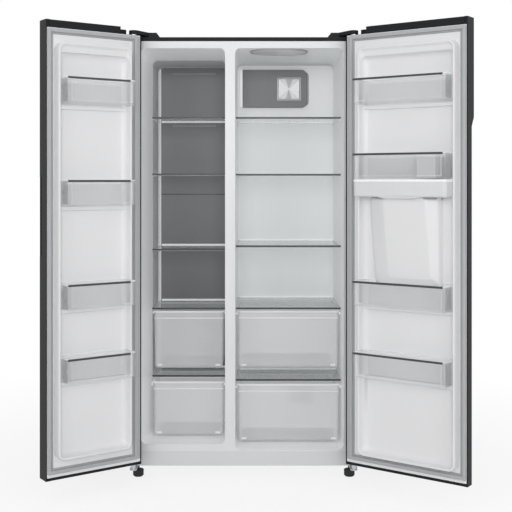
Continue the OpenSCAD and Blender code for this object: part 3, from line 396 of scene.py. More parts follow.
class Form:
    """Closed shapes gathered into one mesh."""

    def __init__(self, place=None):
        self.bm = bmesh.new()
        self.place = place or Matrix()

    def loft(self, rings, loop=False):
        """Skin over rings of equal count, capped at both ends, or joined into a band."""
        rows = [[self.bm.verts.new((self.place @ Vector(p)) * MM) for p in ring] for ring in rings]
        count = len(rows[0])
        pairs = list(zip(rows, rows[1:])) + ([(rows[-1], rows[0])] if loop else [])
        for low, high in pairs:
            for i in range(count):
                j = (i + 1) % count
                self.bm.faces.new((low[i], low[j], high[j], high[i]))
        if not loop:
            self.bm.faces.new(rows[0][::-1])
            self.bm.faces.new(rows[-1])
        return self

    def layers(self, a, b, steps, axis="z", corner=4.0, count=6, loop=False):
        """Loft of a round rectangle through (inset, height) steps."""
        turn = TURN[axis]
        rings = []
        for inset, height in steps:
            outline = round_outline((a[0] + inset, a[1] - inset), (b[0] + inset, b[1] - inset),
                                    [max(r - inset, 0.05) for r in four(corner)], count)
            rings.append([turn(p, q, height) for p, q in outline])
        return self.loft(rings, loop)

    def block(self, x, y, z, corner=3.0, edge=0.8, axis="z", count=4):
        """Block with round corners along one axis and rounded ends."""
        a, b, h = {"x": (y, z, x), "y": (x, z, y), "z": (x, y, z)}[axis]
        e = min([edge] + [(high - low) / 2.01 for low, high in (h, a, b)])
        return self.layers(a, b, rounded_ends(h, e), axis, corner, count)

    def tub(self, x, y, z, wall, corner, floor, lean=0.0, count=6):
        """Open box with a hollow floor edge, rounded rim and walls that lean in downwards."""
        def lean_at(height):
            return lean * (z[1] - height) / (z[1] - z[0])
        half = wall / 2
        steps = [(floor * (1 - s), z[0] + floor * (1 - c)) for s, c in arc(4)]
        steps += [(half * (1 - s), z[1] - half + half * c) for s, c in arc(4, 90, 0)]
        steps += [(half * (1 + s), z[1] - half + half * c) for s, c in arc(4)]
        hollow = max(floor - wall, 1.0)
        steps += [(wall + hollow * (1 - s), z[0] + wall + hollow * (1 - c))
                  for s, c in arc(4, 90, 0)]
        steps = [(inset + lean_at(height), height) for inset, height in steps]
        return self.layers(x, y, steps, "z", corner, count)

    def band(self, a, b, profile, axis, corner, count=6):
        """Ring whose section is a closed list of (inset, height)."""
        return self.layers(a, b, profile, axis, corner, count, loop=True)

    def turned(self, centre, profile, count=48, axis="z"):
        """Solid turned about an axis through centre, from (radius, height) steps."""
        turn = TURN[axis]
        middle = Vector(centre)
        rings = []
        for radius, height in profile:
            ring = [turn(radius * math.cos(2 * math.pi * i / count),
                         radius * math.sin(2 * math.pi * i / count), height)
                    for i in range(count)]
            rings.append([middle + Vector(p) for p in ring])
        return self.loft(rings)

    def outline(self, points, h, edge=1.0, axis="y"):
        """Plate of any outline with slightly rounded ends."""
        turn = TURN[axis]
        rings = [[turn(*shrink(points, i, inset), height) for i in range(len(points))]
                 for inset, height in rounded_ends(h, edge)]
        return self.loft(rings)


def shrink(points, i, inset):
    """Point i of an outline, moved inwards by inset along the outline's normal."""
    before, here, after = points[i - 1], points[i], points[(i + 1) % len(points)]
    dx, dy = after[0] - before[0], after[1] - before[1]
    size = math.hypot(dx, dy) or 1
    return here[0] - dy / size * inset, here[1] + dx / size * inset


def tidy_mesh(mesh, smooth=SMOOTH):
    """Smooth shading with sharp edges where the mesh turns steeply."""
    mesh.shade_smooth()
    mesh.set_sharp_from_angle(angle=math.radians(smooth))


def form_object(name, bm):
    """Plain object of a finished bmesh, which is freed."""
    mesh = bpy.data.meshes.new(name)
    bm.to_mesh(mesh)
    bm.free()
    piece = bpy.data.objects.new(name, mesh)
    bpy.context.collection.objects.link(piece)
    return piece


def weigh_normals(piece):
    """Large faces set the shading, so flats stay flat beside rounded edges."""
    weigh = piece.modifiers.new("weigh", "WEIGHTED_NORMAL")
    weigh.keep_sharp = True
    weigh.weight = 100
    apply_modifiers(piece)


def apply_modifiers(piece):
    """Turns what the modifiers make into the piece's plain mesh."""
    view = bpy.context.evaluated_depsgraph_get()
    mesh = bpy.data.meshes.new_from_object(piece.evaluated_get(view))
    piece.modifiers.clear()
    old = piece.data
    piece.data = mesh
    mesh.name = piece.name
    bpy.data.meshes.remove(old)


def settle(piece, material, body, replaces=()):
    """Gives a finished mesh its finish, body and the nodes that it stands for."""
    piece.data.materials.clear()
    piece.data.materials.append(finishes()[material])
    if replaces:
        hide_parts(*replaces)
    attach(piece, body)
    return piece


def add_piece(name, form, material, body, replaces=(), smooth=SMOOTH):
    """Makes one piece from a form."""
    bmesh.ops.recalc_face_normals(form.bm, faces=form.bm.faces)
    piece = form_object(name, form.bm)
    tidy_mesh(piece.data, smooth)
    weigh_normals(piece)
    return settle(piece, material, body, replaces)


def refine(node, name, material, bevel=0.0, segments=2):
    """Smooth copy of a node with its edges rounded, which stands for the node."""
    weld, flat, corner, smooth = 2e-6, math.radians(0.4), math.radians(30), 40
    source = frame["nodes"][node]
    bm = bmesh.new()
    bm.from_mesh(source.data)
    bmesh.ops.remove_doubles(bm, verts=bm.verts, dist=weld)
    bmesh.ops.dissolve_limit(bm, angle_limit=flat, verts=bm.verts, edges=bm.edges)
    if bevel:
        edges = [e for e in bm.edges if len(e.link_faces) == 2 and e.calc_face_angle() > corner]
        bmesh.ops.bevel(bm, geom=edges, offset=bevel * MM, segments=segments, profile=0.5,
                        affect="EDGES", clamp_overlap=True)
    piece = form_object(name, bm)
    tidy_mesh(piece.data, smooth)
    weigh_normals(piece)
    return settle(piece, material, source["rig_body"], (node,))


def dress(node, material):
    """A node that keeps its own shape gets its finish."""
    mesh = frame["nodes"][node].data
    mesh.materials.clear()
    mesh.materials.append(finishes()[material])


# --- rows of ribs and slats ------------------------------------------------------------------


def row_tree():
    """Node tree that sets a rounded bar along a row."""
    tree = bpy.data.node_groups.get("Row of bars")
    if tree:
        return tree
    tree = bpy.data.node_groups.new("Row of bars", "GeometryNodeTree")
    face = tree.interface
    face.new_socket(name="Geometry", in_out="INPUT", socket_type="NodeSocketGeometry")
    for label, kind in (("Count", "NodeSocketInt"), ("Start", "NodeSocketVector"),
                        ("Step", "NodeSocketVector"), ("Reach", "NodeSocketVector"),
                        ("Width", "NodeSocketFloat"), ("Depth", "NodeSocketFloat"),
                        ("Rounding", "NodeSocketFloat"), ("Finish", "NodeSocketMaterial")):
        face.new_socket(name=label, in_out="INPUT", socket_type=kind)
    face.new_socket(name="Geometry", in_out="OUTPUT", socket_type="NodeSocketGeometry")
    new = tree.nodes.new
    inputs, output = new("NodeGroupInput"), new("NodeGroupOutput")
    row = add_node(tree, "GeometryNodeMeshLine", mode="OFFSET")
    path = new("GeometryNodeCurvePrimitiveLine")
    section = new("GeometryNodeCurvePrimitiveQuadrilateral")
    fillet = add_node(tree, "GeometryNodeFilletCurve", {"Count": 3}, mode="POLY")
    bar = add_node(tree, "GeometryNodeCurveToMesh", {"Fill Caps": True})
    spread = new("GeometryNodeInstanceOnPoints")
    real, paint = new("GeometryNodeRealizeInstances"), new("GeometryNodeSetMaterial")
    joins = [
        (inputs.outputs["Count"], row.inputs["Count"]),
        (inputs.outputs["Start"], row.inputs["Start Location"]),
        (inputs.outputs["Step"], row.inputs["Offset"]),
        (inputs.outputs["Reach"], path.inputs["End"]),
        (inputs.outputs["Width"], section.inputs["Width"]),
        (inputs.outputs["Depth"], section.inputs["Height"]),
        (section.outputs["Curve"], fillet.inputs["Curve"]),
        (inputs.outputs["Rounding"], fillet.inputs["Radius"]),
        (path.outputs["Curve"], bar.inputs["Curve"]),
        (fillet.outputs["Curve"], bar.inputs["Profile Curve"]),
        (row.outputs["Mesh"], spread.inputs["Points"]),
        (bar.outputs["Mesh"], spread.inputs["Instance"]),
        (spread.outputs["Instances"], real.inputs["Geometry"]),
        (real.outputs["Geometry"], paint.inputs["Geometry"]),
        (inputs.outputs["Finish"], paint.inputs["Material"]),
        (paint.outputs["Geometry"], output.inputs["Geometry"]),
    ]
    for a, b in joins:
        link(tree, a, b)
    return tree


def add_row(name, material, body, rows, width, depth, rounding, place=None):
    """One piece of bars in rows, each row (count, start, step, reach) in millimetres."""
    parts = []
    tree = row_tree()
    keys = {item.name: item.identifier for item in tree.interface.items_tree
            if item.in_out == "INPUT"}
    for count, start, step, reach in rows:
        part = bpy.data.objects.new(name, bpy.data.meshes.new(name))
        bpy.context.collection.objects.link(part)
        bars = part.modifiers.new("bars", "NODES")
        bars.node_group = tree
        values = {"Count": count, "Width": width * MM, "Depth": depth * MM,
                  "Rounding": rounding * MM, "Finish": finishes()[material]}
        values.update({key: [v * MM for v in value] for key, value in
                       (("Start", start), ("Step", step), ("Reach", reach))})
        for label, value in values.items():
            bars[keys[label]] = value
        apply_modifiers(part)
        parts.append(part)
    bm = bmesh.new()
    for part in parts:
        bm.from_mesh(part.data)
        bpy.data.objects.remove(part)
    if place is not None:
        moved = place.copy()
        moved.translation *= MM
        bm.transform(moved)
    bmesh.ops.remove_doubles(bm, verts=bm.verts, dist=1e-7)
    bmesh.ops.recalc_face_normals(bm, faces=bm.faces)
    piece = form_object(name, bm)
    tidy_mesh(piece.data)
    return settle(piece, material, body)


# --- the pieces ------------------------------------------------------------------------------


EYE = (0.049, -4.16, 1.188)  # place of the camera, in metres
LENS, SENSOR, SHIFT = 67.6, 36, -0.1465
AIM = (0, 0, 0.95)  # what the lamps point at
LAMPS = (  # name, place and size in metres, power in watts
    ("key lamp", (-2.6, -4.2, 2.6), 2.2, 26),
    ("fill lamp", (2.6, -4.2, 2.2), 2.2, 26),
    ("front lamp", (0.0, -5.6, 1.9), 1.6, 62),
    ("top lamp", (0.0, -0.6, 4.2), 2.4, 16),
    ("rear lamp", (0.6, 4.4, 3.0), 3.0, 60),
)
ROOM_LIGHT = 0.4  # strength of the white room as a lamp
FLOOR_RADIUS = 14000
FLOOR_SHADE = (0.9, 0.9, 0.9, 1)
FADE = {"From Min": 0.6, "From Max": 2.2, "To Min": 0.8, "To Max": 1.0}  # floor into the white


class StageOperator(bpy.types.Operator):
    """Sets the camera, the lamps, the pale floor and the white background"""

    bl_idname = "fridge.stage"
    bl_label = "Stage"

    def execute(self, context):
        scene = context.scene
        scene.view_settings.view_transform = "Standard"
        camera = bpy.data.cameras.new("camera")
        camera.lens, camera.sensor_width, camera.shift_y = LENS, SENSOR, SHIFT
        eye = bpy.data.objects.new("camera", camera)
        eye.location = EYE
        eye.rotation_euler = (math.radians(90), 0, 0)
        scene.collection.objects.link(eye)
        scene.camera = eye
        self.lamps(scene)
        self.world(scene)
        self.floor()
        return {"FINISHED"}

    def lamps(self, scene):
        """Square lamps that point at the middle of the cabinet."""
        for name, place, size, power in LAMPS:
            lamp = bpy.data.lights.new(name, "AREA")
            lamp.size, lamp.energy = size, power
            held = bpy.data.objects.new(name, lamp)
            held.location = place
            way = Vector(AIM) - Vector(place)
            held.rotation_euler = way.to_track_quat("-Z", "Y").to_euler()
            scene.collection.objects.link(held)

    def seen(self, tree):
        """1 for rays that should meet the white background itself."""
        path = add_node(tree, "ShaderNodeLightPath")
        both, every = (add_node(tree, "ShaderNodeMath", operation="MAXIMUM") for _ in range(2))
        link(tree, path.outputs["Is Camera Ray"], both.inputs[0])
        link(tree, path.outputs["Is Glossy Ray"], both.inputs[1])
        link(tree, both.outputs[0], every.inputs[0])
        link(tree, path.outputs["Is Transmission Ray"], every.inputs[1])
        return every.outputs[0]

    def world(self, scene):
        """White room, a weaker lamp than the background that it shows."""
        world = bpy.data.worlds.new("white room")
        scene.world = world
        world.use_nodes = True
        tree = world.node_tree
        tree.nodes.clear()
        light, back = (add_node(tree, "ShaderNodeBackground",
                                {"Color": (1, 1, 1, 1), "Strength": strength})
                       for strength in (ROOM_LIGHT, 1.0))
        mix = add_node(tree, "ShaderNodeMixShader")
        out = add_node(tree, "ShaderNodeOutputWorld")
        link(tree, self.seen(tree), mix.inputs["Fac"])
        link(tree, light.outputs["Background"], mix.inputs[1])
        link(tree, back.outputs["Background"], mix.inputs[2])
        link(tree, mix.outputs["Shader"], out.inputs["Surface"])

    def floor(self):
        """Pale floor that keeps the shadow and fades into the white background."""
        form = Form().turned((0, 0, 0), [(FLOOR_RADIUS, -6), (FLOOR_RADIUS, -0.5)], 96)
        floor = form_object("floor", form.bm)
        material = bpy.data.materials.new("pale floor")
        material.use_nodes = True
        tree = material.node_tree
        shader = tree.nodes["Principled BSDF"]
        shader.inputs["Base Color"].default_value = FLOOR_SHADE
        shader.inputs["Roughness"].default_value = 0.9
        shader.inputs["Specular IOR Level"].default_value = 0.1
        glow = add_node(tree, "ShaderNodeEmission")
        place = add_node(tree, "ShaderNodeTexCoord")
        far = add_node(tree, "ShaderNodeVectorMath", operation="LENGTH")
        reach = add_node(tree, "ShaderNodeMapRange", FADE)
        share = add_node(tree, "ShaderNodeMath", operation="MULTIPLY")
        mix = add_node(tree, "ShaderNodeMixShader")
        link(tree, place.outputs["Object"], far.inputs[0])
        link(tree, far.outputs["Value"], reach.inputs["Value"])
        link(tree, reach.outputs["Result"], share.inputs[0])
        link(tree, self.seen(tree), share.inputs[1])
        link(tree, share.outputs[0], mix.inputs["Fac"])
        link(tree, shader.outputs["BSDF"], mix.inputs[1])
        link(tree, glow.outputs["Emission"], mix.inputs[2])
        link(tree, mix.outputs["Shader"], tree.nodes["Material Output"].inputs["Surface"])
        floor.data.materials.append(material)


class CabinetOperator(bpy.types.Operator):
    """Builds the wrap, the white front frame, the back and the base"""

    bl_idname = "fridge.cabinet"
    bl_label = "Cabinet"

    def execute(self, context):
        edge = context.scene.fridge_sizes.edge
        refine("cabinet_shell", "wrap", "dark_steel", 0.35)
        refine("back_panel", "rear_sheet", "back_steel", 0.3)
        dress("cabinet_foam", "foam")
        refine("front_frame", "white_frame", "frame_white", edge / 2)
        refine("kick_plate", "apron", "apron_white", edge / 2)
        refine("base_pan", "base", "plated_steel", 0.4)
        refine("machine_bay", "bay_sheets", "plated_steel", 0.3)
        self.rear_cover()
        return {"FINISHED"}

    def rear_cover(self):
        """Cover of the machine bay with fields of louvres."""
        refine("machine_cover", "rear_cover", "shell_black", 0.4)
        low, high = node_box("machine_cover")
        count, pitch, length, field = 9, 18, 80, 120
        start = low.z + 47.5
        rows = [(count, (x - length / 2, high.y - 0.9, start), (0, 0, pitch), (length, 0, 0))
                for x in range(-3 * field, 3 * field + 1, field)]
        add_row("rear_cover_louvres", "shell_black", "cabinet", rows,
                width=2.2, depth=1.6, rounding=0.7)


WALL = 2  # thickness of a compartment's liner
MOUTH_FLARE = 28  # how far the freezer's walls splay towards the mouth
MOUTH_REACH = 150  # depth of the mouth
COMPARTMENT_CORNER = 22
BACK_FILLET = 8
# size of the glowing white strip in the freezer's rear corner, a painted highlight
HIGHLIGHT_WIDTH, HIGHLIGHT_DEPTH = 9, 46
SEAM_LEVEL, SEAM_WIDTH = 1129, 4


class LinersOperator(bpy.types.Operator):
    """Builds the formed liners with their soft corners, and the dark freezer panel"""

    bl_idname = "fridge.liners"
    bl_label = "Liners"

    def execute(self, context):
        self.compartment("freezer_liner", MOUTH_FLARE)
        self.compartment("fridge_liner", 0)
        self.freezer_panel()
        return {"FINISHED"}

    def compartment(self, node, flare):
        """Liner with a splayed mouth, round corners and a step over the machine bay."""
        low, high = node_box(node)
        x, z = (low.x + WALL, high.x - WALL), (low.z + WALL, high.z - WALL)
        back, step = high.y - WALL, node_box("crisper_vent")[1].y
        rise = node_box("air_duct_cover")[0].z - z[0]
        mouth = node_box("front_frame")[1].y
        depth = [  # depth, share of the splay, height of the floor
            (mouth, 0, 0), (mouth + MOUTH_REACH, 1, 0), (step - 6, 1, 0), (step - 2, 1, 2),
            (step, 1, 8), (step + 0.4, 1, rise - 8), (step + 2, 1, rise - 2),
            (step + 6, 1, rise), (back - BACK_FILLET, 1, rise)]

        def ring(y, drawn, raised, grow, inset=0.0):
            a = (x[0] + flare * drawn - grow + inset, x[1] + grow - inset)
            b = (z[0] + raised - grow + inset, z[1] - flare * drawn + grow - inset)
            return [(p, y, q) for p, q in round_outline(a, b, COMPARTMENT_CORNER + grow, 8)]

        inner = [ring(y, drawn, raised, 0) for y, drawn, raised in depth]
        inner += [ring(back - BACK_FILLET + BACK_FILLET * s, 1, rise, 0, BACK_FILLET * (1 - c))
                  for s, c in arc(4)[1:]]
        grow = WALL * 0.9
        outer = [ring(y + (WALL if raised else 0), drawn, raised, grow)
                 for y, drawn, raised in depth[:-1]]
        outer += [ring(back + WALL - 0.2, 1, rise, grow)]
        form = Form().loft(outer[::-1] + inner)
        add_piece(node + "_form", form, "liner_wall", "cabinet", (node,))

    def freezer_panel(self):
        """Dark rear panel, a grey sheet behind its slots as painted shade, its seam, and a glowing
        corner strip as a painted highlight.
        """
        refine("freezer_back_panel", "freezer_panel", "panel_grey", 0.8)
        low, high = node_box("freezer_back_panel")
        self.corner_highlight(low, high)
        margin = 12
        # painted shade: a grey sheet behind the slots stands for the dark inside them
        hollow = Form().block((low.x + margin, high.x - margin), (high.y + 0.6, high.y + 1.8),
                              (low.z + margin, high.z - margin), 2, 0.4, "y")
        add_piece("freezer_slot_shade_sheet", hollow, "painted_shade_grey", "cabinet")
        self.lining(low, high)
        half = SEAM_WIDTH / 2
        seam = Form().block((low.x + 4, high.x - 4), (low.y - 1.2, low.y + 0.4),
                            (SEAM_LEVEL - half, SEAM_LEVEL + half), 0.5, 0.5)
        add_piece("freezer_panel_seam", seam, "trim_grey", "cabinet")

    def corner_highlight(self, low, high):
        """Hollow white strip up the rear corner of the freezer that glows, a painted highlight of
        the corner.
        """
        x, front = low.x, low.y - HIGHLIGHT_DEPTH
        reach = HIGHLIGHT_DEPTH - 1
        plan = [(x, front)]
        plan += [(x + HIGHLIGHT_WIDTH * (1 - c), front + reach * s) for s, c in arc(8)][1:]
        plan += [(x, low.y - 1)]
        form = Form().loft([[(p, q, height) for p, q in plan]
                            for height in (low.z + 2, high.z - 2)])
        add_piece("freezer_corner_highlight", form, "painted_highlight_white", "cabinet")

    def lining(self, low, high):
        """Grey sheets on the freezer's walls and ceiling, behind the splayed mouth: painted shade
        of the deep inside.
        """
        sheet, r = 0.8, COMPARTMENT_CORNER
        wall = node_box("freezer_liner")
        left, right = wall[0].x + WALL + MOUTH_FLARE + 0.4, wall[1].x - WALL
        start = node_box("front_frame")[1].y + MOUTH_REACH + 2
        floor = node_levels("freezer_shelf_glass", SHELF_GAP)[0][1] + 6
        top = high.z - 2 - r
        arch = [(left, floor), (left, top)]
        arch += [(left + r * (1 - c), top + r * s) for s, c in arc(6)][1:]
        arch += [(right - r + r * s, top + r * c) for s, c in arc(6)]
        arch += [(right - 0.2, floor)]
        middle = 0.5 * (wall[0].x + WALL + right)
        skin = [(p + sheet * ((p < middle) - (p > middle)), q - sheet * (q > floor + 1))
                for p, q in reversed(arch)]
        rings = [[(p, y, q) for p, q in arch + skin] for y in (start, low.y - HIGHLIGHT_DEPTH)]
        add_piece("freezer_shade_sheets", Form().loft(rings), "freezer_shade_grey", "cabinet")


TRIM_DEPTH = 5.9  # of a shelf's front bar
LOW_SHELF = 400  # a shelf below this level stops in front of the machine bay
RAIL_HEIGHTS = {"freezer_shelf_glass": 9, "fridge_shelf_glass": 5}


class ShelvesOperator(bpy.types.Operator):
    """Builds the glass shelves, their trims, rear rails and the ledges"""

    bl_idname = "fridge.shelves"
    bl_label = "Shelves"

    def execute(self, context):
        refine("drawer_runners", "ledges", "liner_wall", 1.2, 3)
        rails, fronts, lines = Form(), Form(), Form()
        step = node_box("crisper_vent")[1].y - 4
        for node, tall in RAIL_HEIGHTS.items():
            low, high = node_box(node)
            glass = Form()
            for z0, z1 in node_levels(node, SHELF_GAP):
                back = high.y if z1 > LOW_SHELF else step
                glass.block((low.x, high.x), (low.y + 0.4, back), (z0, z1), 2, 0.9)
                self.trim(fronts, lines, low, high, z0, z1)
                rail_top = z1 + 4
                rails.block((low.x + 12, high.x - 2), (back - 3.5, back - 0.2),
                            (rail_top - tall, rail_top), 1, 0.5)
            add_piece(node + "_plates", glass, "shelf_glass", "cabinet", (node,))
        add_piece("shelf_front_trims", fronts, "trim_grey", "cabinet",
                  ("shelf_trims",))
        add_piece("shelf_trim_lines", lines, "glass_edge", "cabinet")
        # the rear rails glow, a painted highlight
        add_piece("shelf_rear_rails", rails, "painted_highlight_white", "cabinet")
        return {"FINISHED"}

    def trim(self, fronts, lines, low, high, z0, z1):
        """A dark front bar with a thin bright lip under it."""
        front = low.y - TRIM_DEPTH
        fronts.block((low.x, high.x), (front, low.y), (z0 - 1.6, z1 + 1.8), 1.6, 1.0, "x")
        lines.block((low.x + 2, high.x - 2), (front + 1.2, low.y + 1.5), (z0 - 2.9, z0 - 1.5),
                    0.5, 0.5, "x")


DRAWERS = ("freezer_drawer_upper", "freezer_drawer_lower", "crisper_upper", "crisper_lower")
DRAWER_WALL, DRAWER_LEAN, DRAWER_FOOT = 3, 2.5, 18
RIM_WIDTH, RIM_HEIGHT = 9, 7
RIB_DROP = 30  # from the rim down to the rib round the drawer
TAB = (20, 9)  # width and height of a tab low on the front
GRIP = 124  # width of the frosted grip
MAT_MARGIN = 14


class DrawersOperator(bpy.types.Operator):
    """Builds the clear drawers"""

    bl_idname = "fridge.drawers"
    bl_label = "Drawers"

    def execute(self, context):
        corner = context.scene.fridge_sizes.drawer_corner
        for node in DRAWERS:
            self.drawer(node, corner)
        return {"FINISHED"}

    def drawer(self, node, corner):
        """Clear tub with its rim, a rib and two tabs, a frosted grip and a floor mat."""
        low, high = node_box(node)
        x, y, z = (low.x + 6, high.x - 6), (low.y + 1, high.y), (low.z, high.z - 1)
        shell = Form().tub(x, y, z, DRAWER_WALL, corner, DRAWER_FOOT, DRAWER_LEAN)
        add_piece(node + "_tub", shell, "drawer_plastic", node, (node,))
        top, foot = high.z, high.z - RIM_HEIGHT
        rim = Form().band((low.x, high.x), (low.y, high.y),
                          [(0.8, foot), (0, foot + 1), (0, top - 1), (1, top),
                           (RIM_WIDTH - 0.8, top), (RIM_WIDTH, top - 1), (RIM_WIDTH, foot + 1),
                           (RIM_WIDTH - 0.8, foot)], "z", corner + 3)
        rib = high.z - RIB_DROP
        rim.band((low.x + 4.4, high.x - 4.4), (low.y + 0.2, high.y - 1.5),
                 [(0.4, rib - 2), (0, rib - 1.2), (0, rib + 1.2), (0.4, rib + 2),
                  (4.2, rib + 2), (4.6, rib + 1), (4.6, rib - 1), (4.2, rib - 2)],
                 "z", corner + 1)
        tab = low.z + 12
        for left in (x[0] + MAT_MARGIN, x[1] - MAT_MARGIN - TAB[0]):
            rim.block((left, left + TAB[0]), (low.y + 0.3, low.y + 3.6), (tab, tab + TAB[1]),
                      2, 0.8, "y")
        add_piece(node + "_rim", rim, "clear_edge", node)
        mid = (low.x + high.x) / 2
        grip = Form().block((mid - GRIP / 2, mid + GRIP / 2), (low.y + 9.2, low.y + 12),
                            (high.z - 20, high.z - 5), 3, 0.8, "y")
        add_piece(node + "_grip", grip, "clear_frost", node)
        mat = Form().block((x[0] + MAT_MARGIN, x[1] - MAT_MARGIN),
                           (y[0] + MAT_MARGIN, y[1] - MAT_MARGIN), (z[0] + 3.4, z[0] + 5), 10, 0.6)
        add_piece(node + "_mat", mat, "clear_frost", node)


END_STRIP = 12  # width of the pale strip at the fascia's left end
FASCIA_CORNER = 24
PLATE_RIM = 7.5  # width of the frame round the spun plate
LAMP_CORNER = 80
LAMP_BEZEL = 9.5


class AirOperator(bpy.types.Operator):
    """Builds the air duct's cover, the dark fascia, the spun plate, the lamp and the vent"""

    bl_idname = "fridge.air"
    bl_label = "Air duct and lamp"

    def execute(self, context):
        refine("air_duct_cover", "duct_cover", "liner_wall", 1.2, 3)
        self.fascia()
        self.plate()
        self.lamp()
        self.vent()
        return {"FINISHED"}

    def fascia(self):
        """Dark fascia between its glowing pale end strip and a grey band past its right end; the
        glow is a painted highlight and the band a painted shadow.
        """
        low, high = node_box("duct_fascia")
        form = Form().block((low.x + END_STRIP, high.x), (low.y, high.y), (low.z, high.z),
                            [3, FASCIA_CORNER, FASCIA_CORNER, 3], 2.5, "y", 8)
        add_piece("fascia", form, "panel_grey", "cabinet", ("duct_fascia",))
        # the end strip glows, a painted highlight
        strip = Form().block((low.x, low.x + END_STRIP - 0.4), (low.y, high.y),
                             (low.z + 1, high.z - 1), 2.5, 2, "y")
        add_piece("fascia_end_strip", strip, "painted_highlight_white", "cabinet")
        # painted shadow: a grey band that reaches past the fascia's right end
        border = FASCIA_CORNER + 6
        edge = Form().block((high.x - 30, high.x + 9), (high.y - 5, high.y + 0.5),
                            (low.z + 8, high.z - 8), [3, border, border, 3], 2.5, "y", 8)
        add_piece("fascia_shadow_band", edge, "painted_shade_grey", "cabinet")

    def plate(self):
        """Spun plate, slightly dished, in its narrow frame."""
        low, high = node_box("air_outlet_plate")
        front, back, inset = low.y, high.y, PLATE_RIM + 0.1
        rim = Form().band((low.x, high.x), (low.z, high.z),
                          [(0, back), (0, front + 0.8), (0.8, front), (5, front),
                           (6.5, front + 1.4), (PLATE_RIM, back)], "y", 5)
        add_piece("outlet_frame", rim, "outlet_chrome", "cabinet")
        dish = Form().layers((low.x + inset, high.x - inset), (low.z + inset, high.z - inset),
                             [(0, back), (0, front + 1.6), (0.8, front + 1.1),
                              (12, front + 2.4), (24, front + 3.2), (36, front + 3.6)], "y", 3)
        piece = add_piece("outlet_dish", dish, "outlet_chrome", "cabinet",
                          ("air_outlet_plate",))
        centre = ((low.x + high.x) / 2 * MM, back * MM, (low.z + high.z) / 2 * MM)
        piece.data.materials[0] = spun_finish("spun_metal", centre)

    def lamp(self):
        """Oval lens in its bezel."""
        low, high = node_box("ceiling_lamp")
        x, y = (low.x, high.x), (low.y, high.y)
        rim, face = low.z + 1.5, low.z + 3
        # painted shade: the bezel is grey for the darker hollow round the lamp
        bezel = Form().band(x, y, [(0, high.z), (0.4, face), (2, rim), (7, rim), (9, face),
                                   (LAMP_BEZEL, high.z)], "z", LAMP_CORNER, 12)
        add_piece("lamp_bezel", bezel, "painted_shade_grey", "cabinet")
        inset = LAMP_BEZEL + 0.1
        lens = Form().layers(x, y, [(inset, high.z), (inset, low.z + 3.5), (16, low.z + 1.2),
                                    (30, low.z + 0.4), (60, low.z + 0.1)],
                             "z", LAMP_CORNER, 12)
        add_piece("lamp_lens", lens, "lamp_white", "cabinet", ("ceiling_lamp",))

    def vent(self):
        """Open box with slats over its mouth."""
        low, high = node_box("crisper_vent")
        x, z = (low.x, high.x), (low.z, high.z)
        rim, count, pitch = 6, 5, 11
        form = Form().band(x, z, [(0, high.y), (0.5, low.y + 2), (2, low.y), (rim, low.y),
                                  (rim + 1, low.y + 1.5), (rim + 1, high.y)], "y", 8)
        form.block((x[0] + rim, x[1] - rim), (high.y - 4, high.y), (z[0] + rim, z[1] - rim),
                   3, 0.5, "y")
        add_piece("vent_box", form, "vent_grey", "cabinet", ("crisper_vent",))
        start, reach = (x[0] + rim, low.y + 5, z[0] + 14), (x[1] - x[0] - 2 * rim, 0, 0)
        add_row("vent_slats", "vent_grey", "cabinet",
                [(count, start, (0, 0, pitch), reach)], width=6, depth=2.2, rounding=0.9)


INNER_FACE = 1.5  # the door liner's flat face, behind the seal's seat
BORDER_HEIGHT = 41  # of the raised border round the door liner
BORDER = [  # inset at the sides, inset at the top, height
    (0, 0, 0), (0.4, 0.4, 2), (1.6, 1.6, 30), (2.4, 2.4, 36), (4, 4, 39.6),
    (6, 6, BORDER_HEIGHT), (8.5, 8.5, BORDER_HEIGHT), (10.6, 10.6, 39.6), (11.8, 14, 36),
    (12.0, 16, 32), (12.0, 20, 29.5), (12.0, 34, 28.5), (12.0, 38, 27)]
BORDER_WIDTH, BORDER_TOP = 12, 39
LEDGE_HEIGHT = 17.5
LINER_SMOOTH = 42
HOUSING_FOOT = 812  # level at which the dispenser's housing meets the door liner
HOUSING_SPLAY = (33, 64)  # how far its foot reaches past the tub's two sides
HOUSING_CREST = (43, 17)  # how far its crest lies beyond them, towards the free end
HOUSING_DEPTH = (38, 21)  # depth at the bottom, and what it gains on the way up
HOUSING_RISE = [  # share of the way from foot to crest, share of the depth
    (-0.12, 0), (-0.03, 0.06), (0.03, 0.3), (0.09, 0.5), (0.2, 0.6), (0.5, 0.76),
    (0.8, 0.92), (0.93, 0.98), (1.02, 1), (1.2, 1.01)]


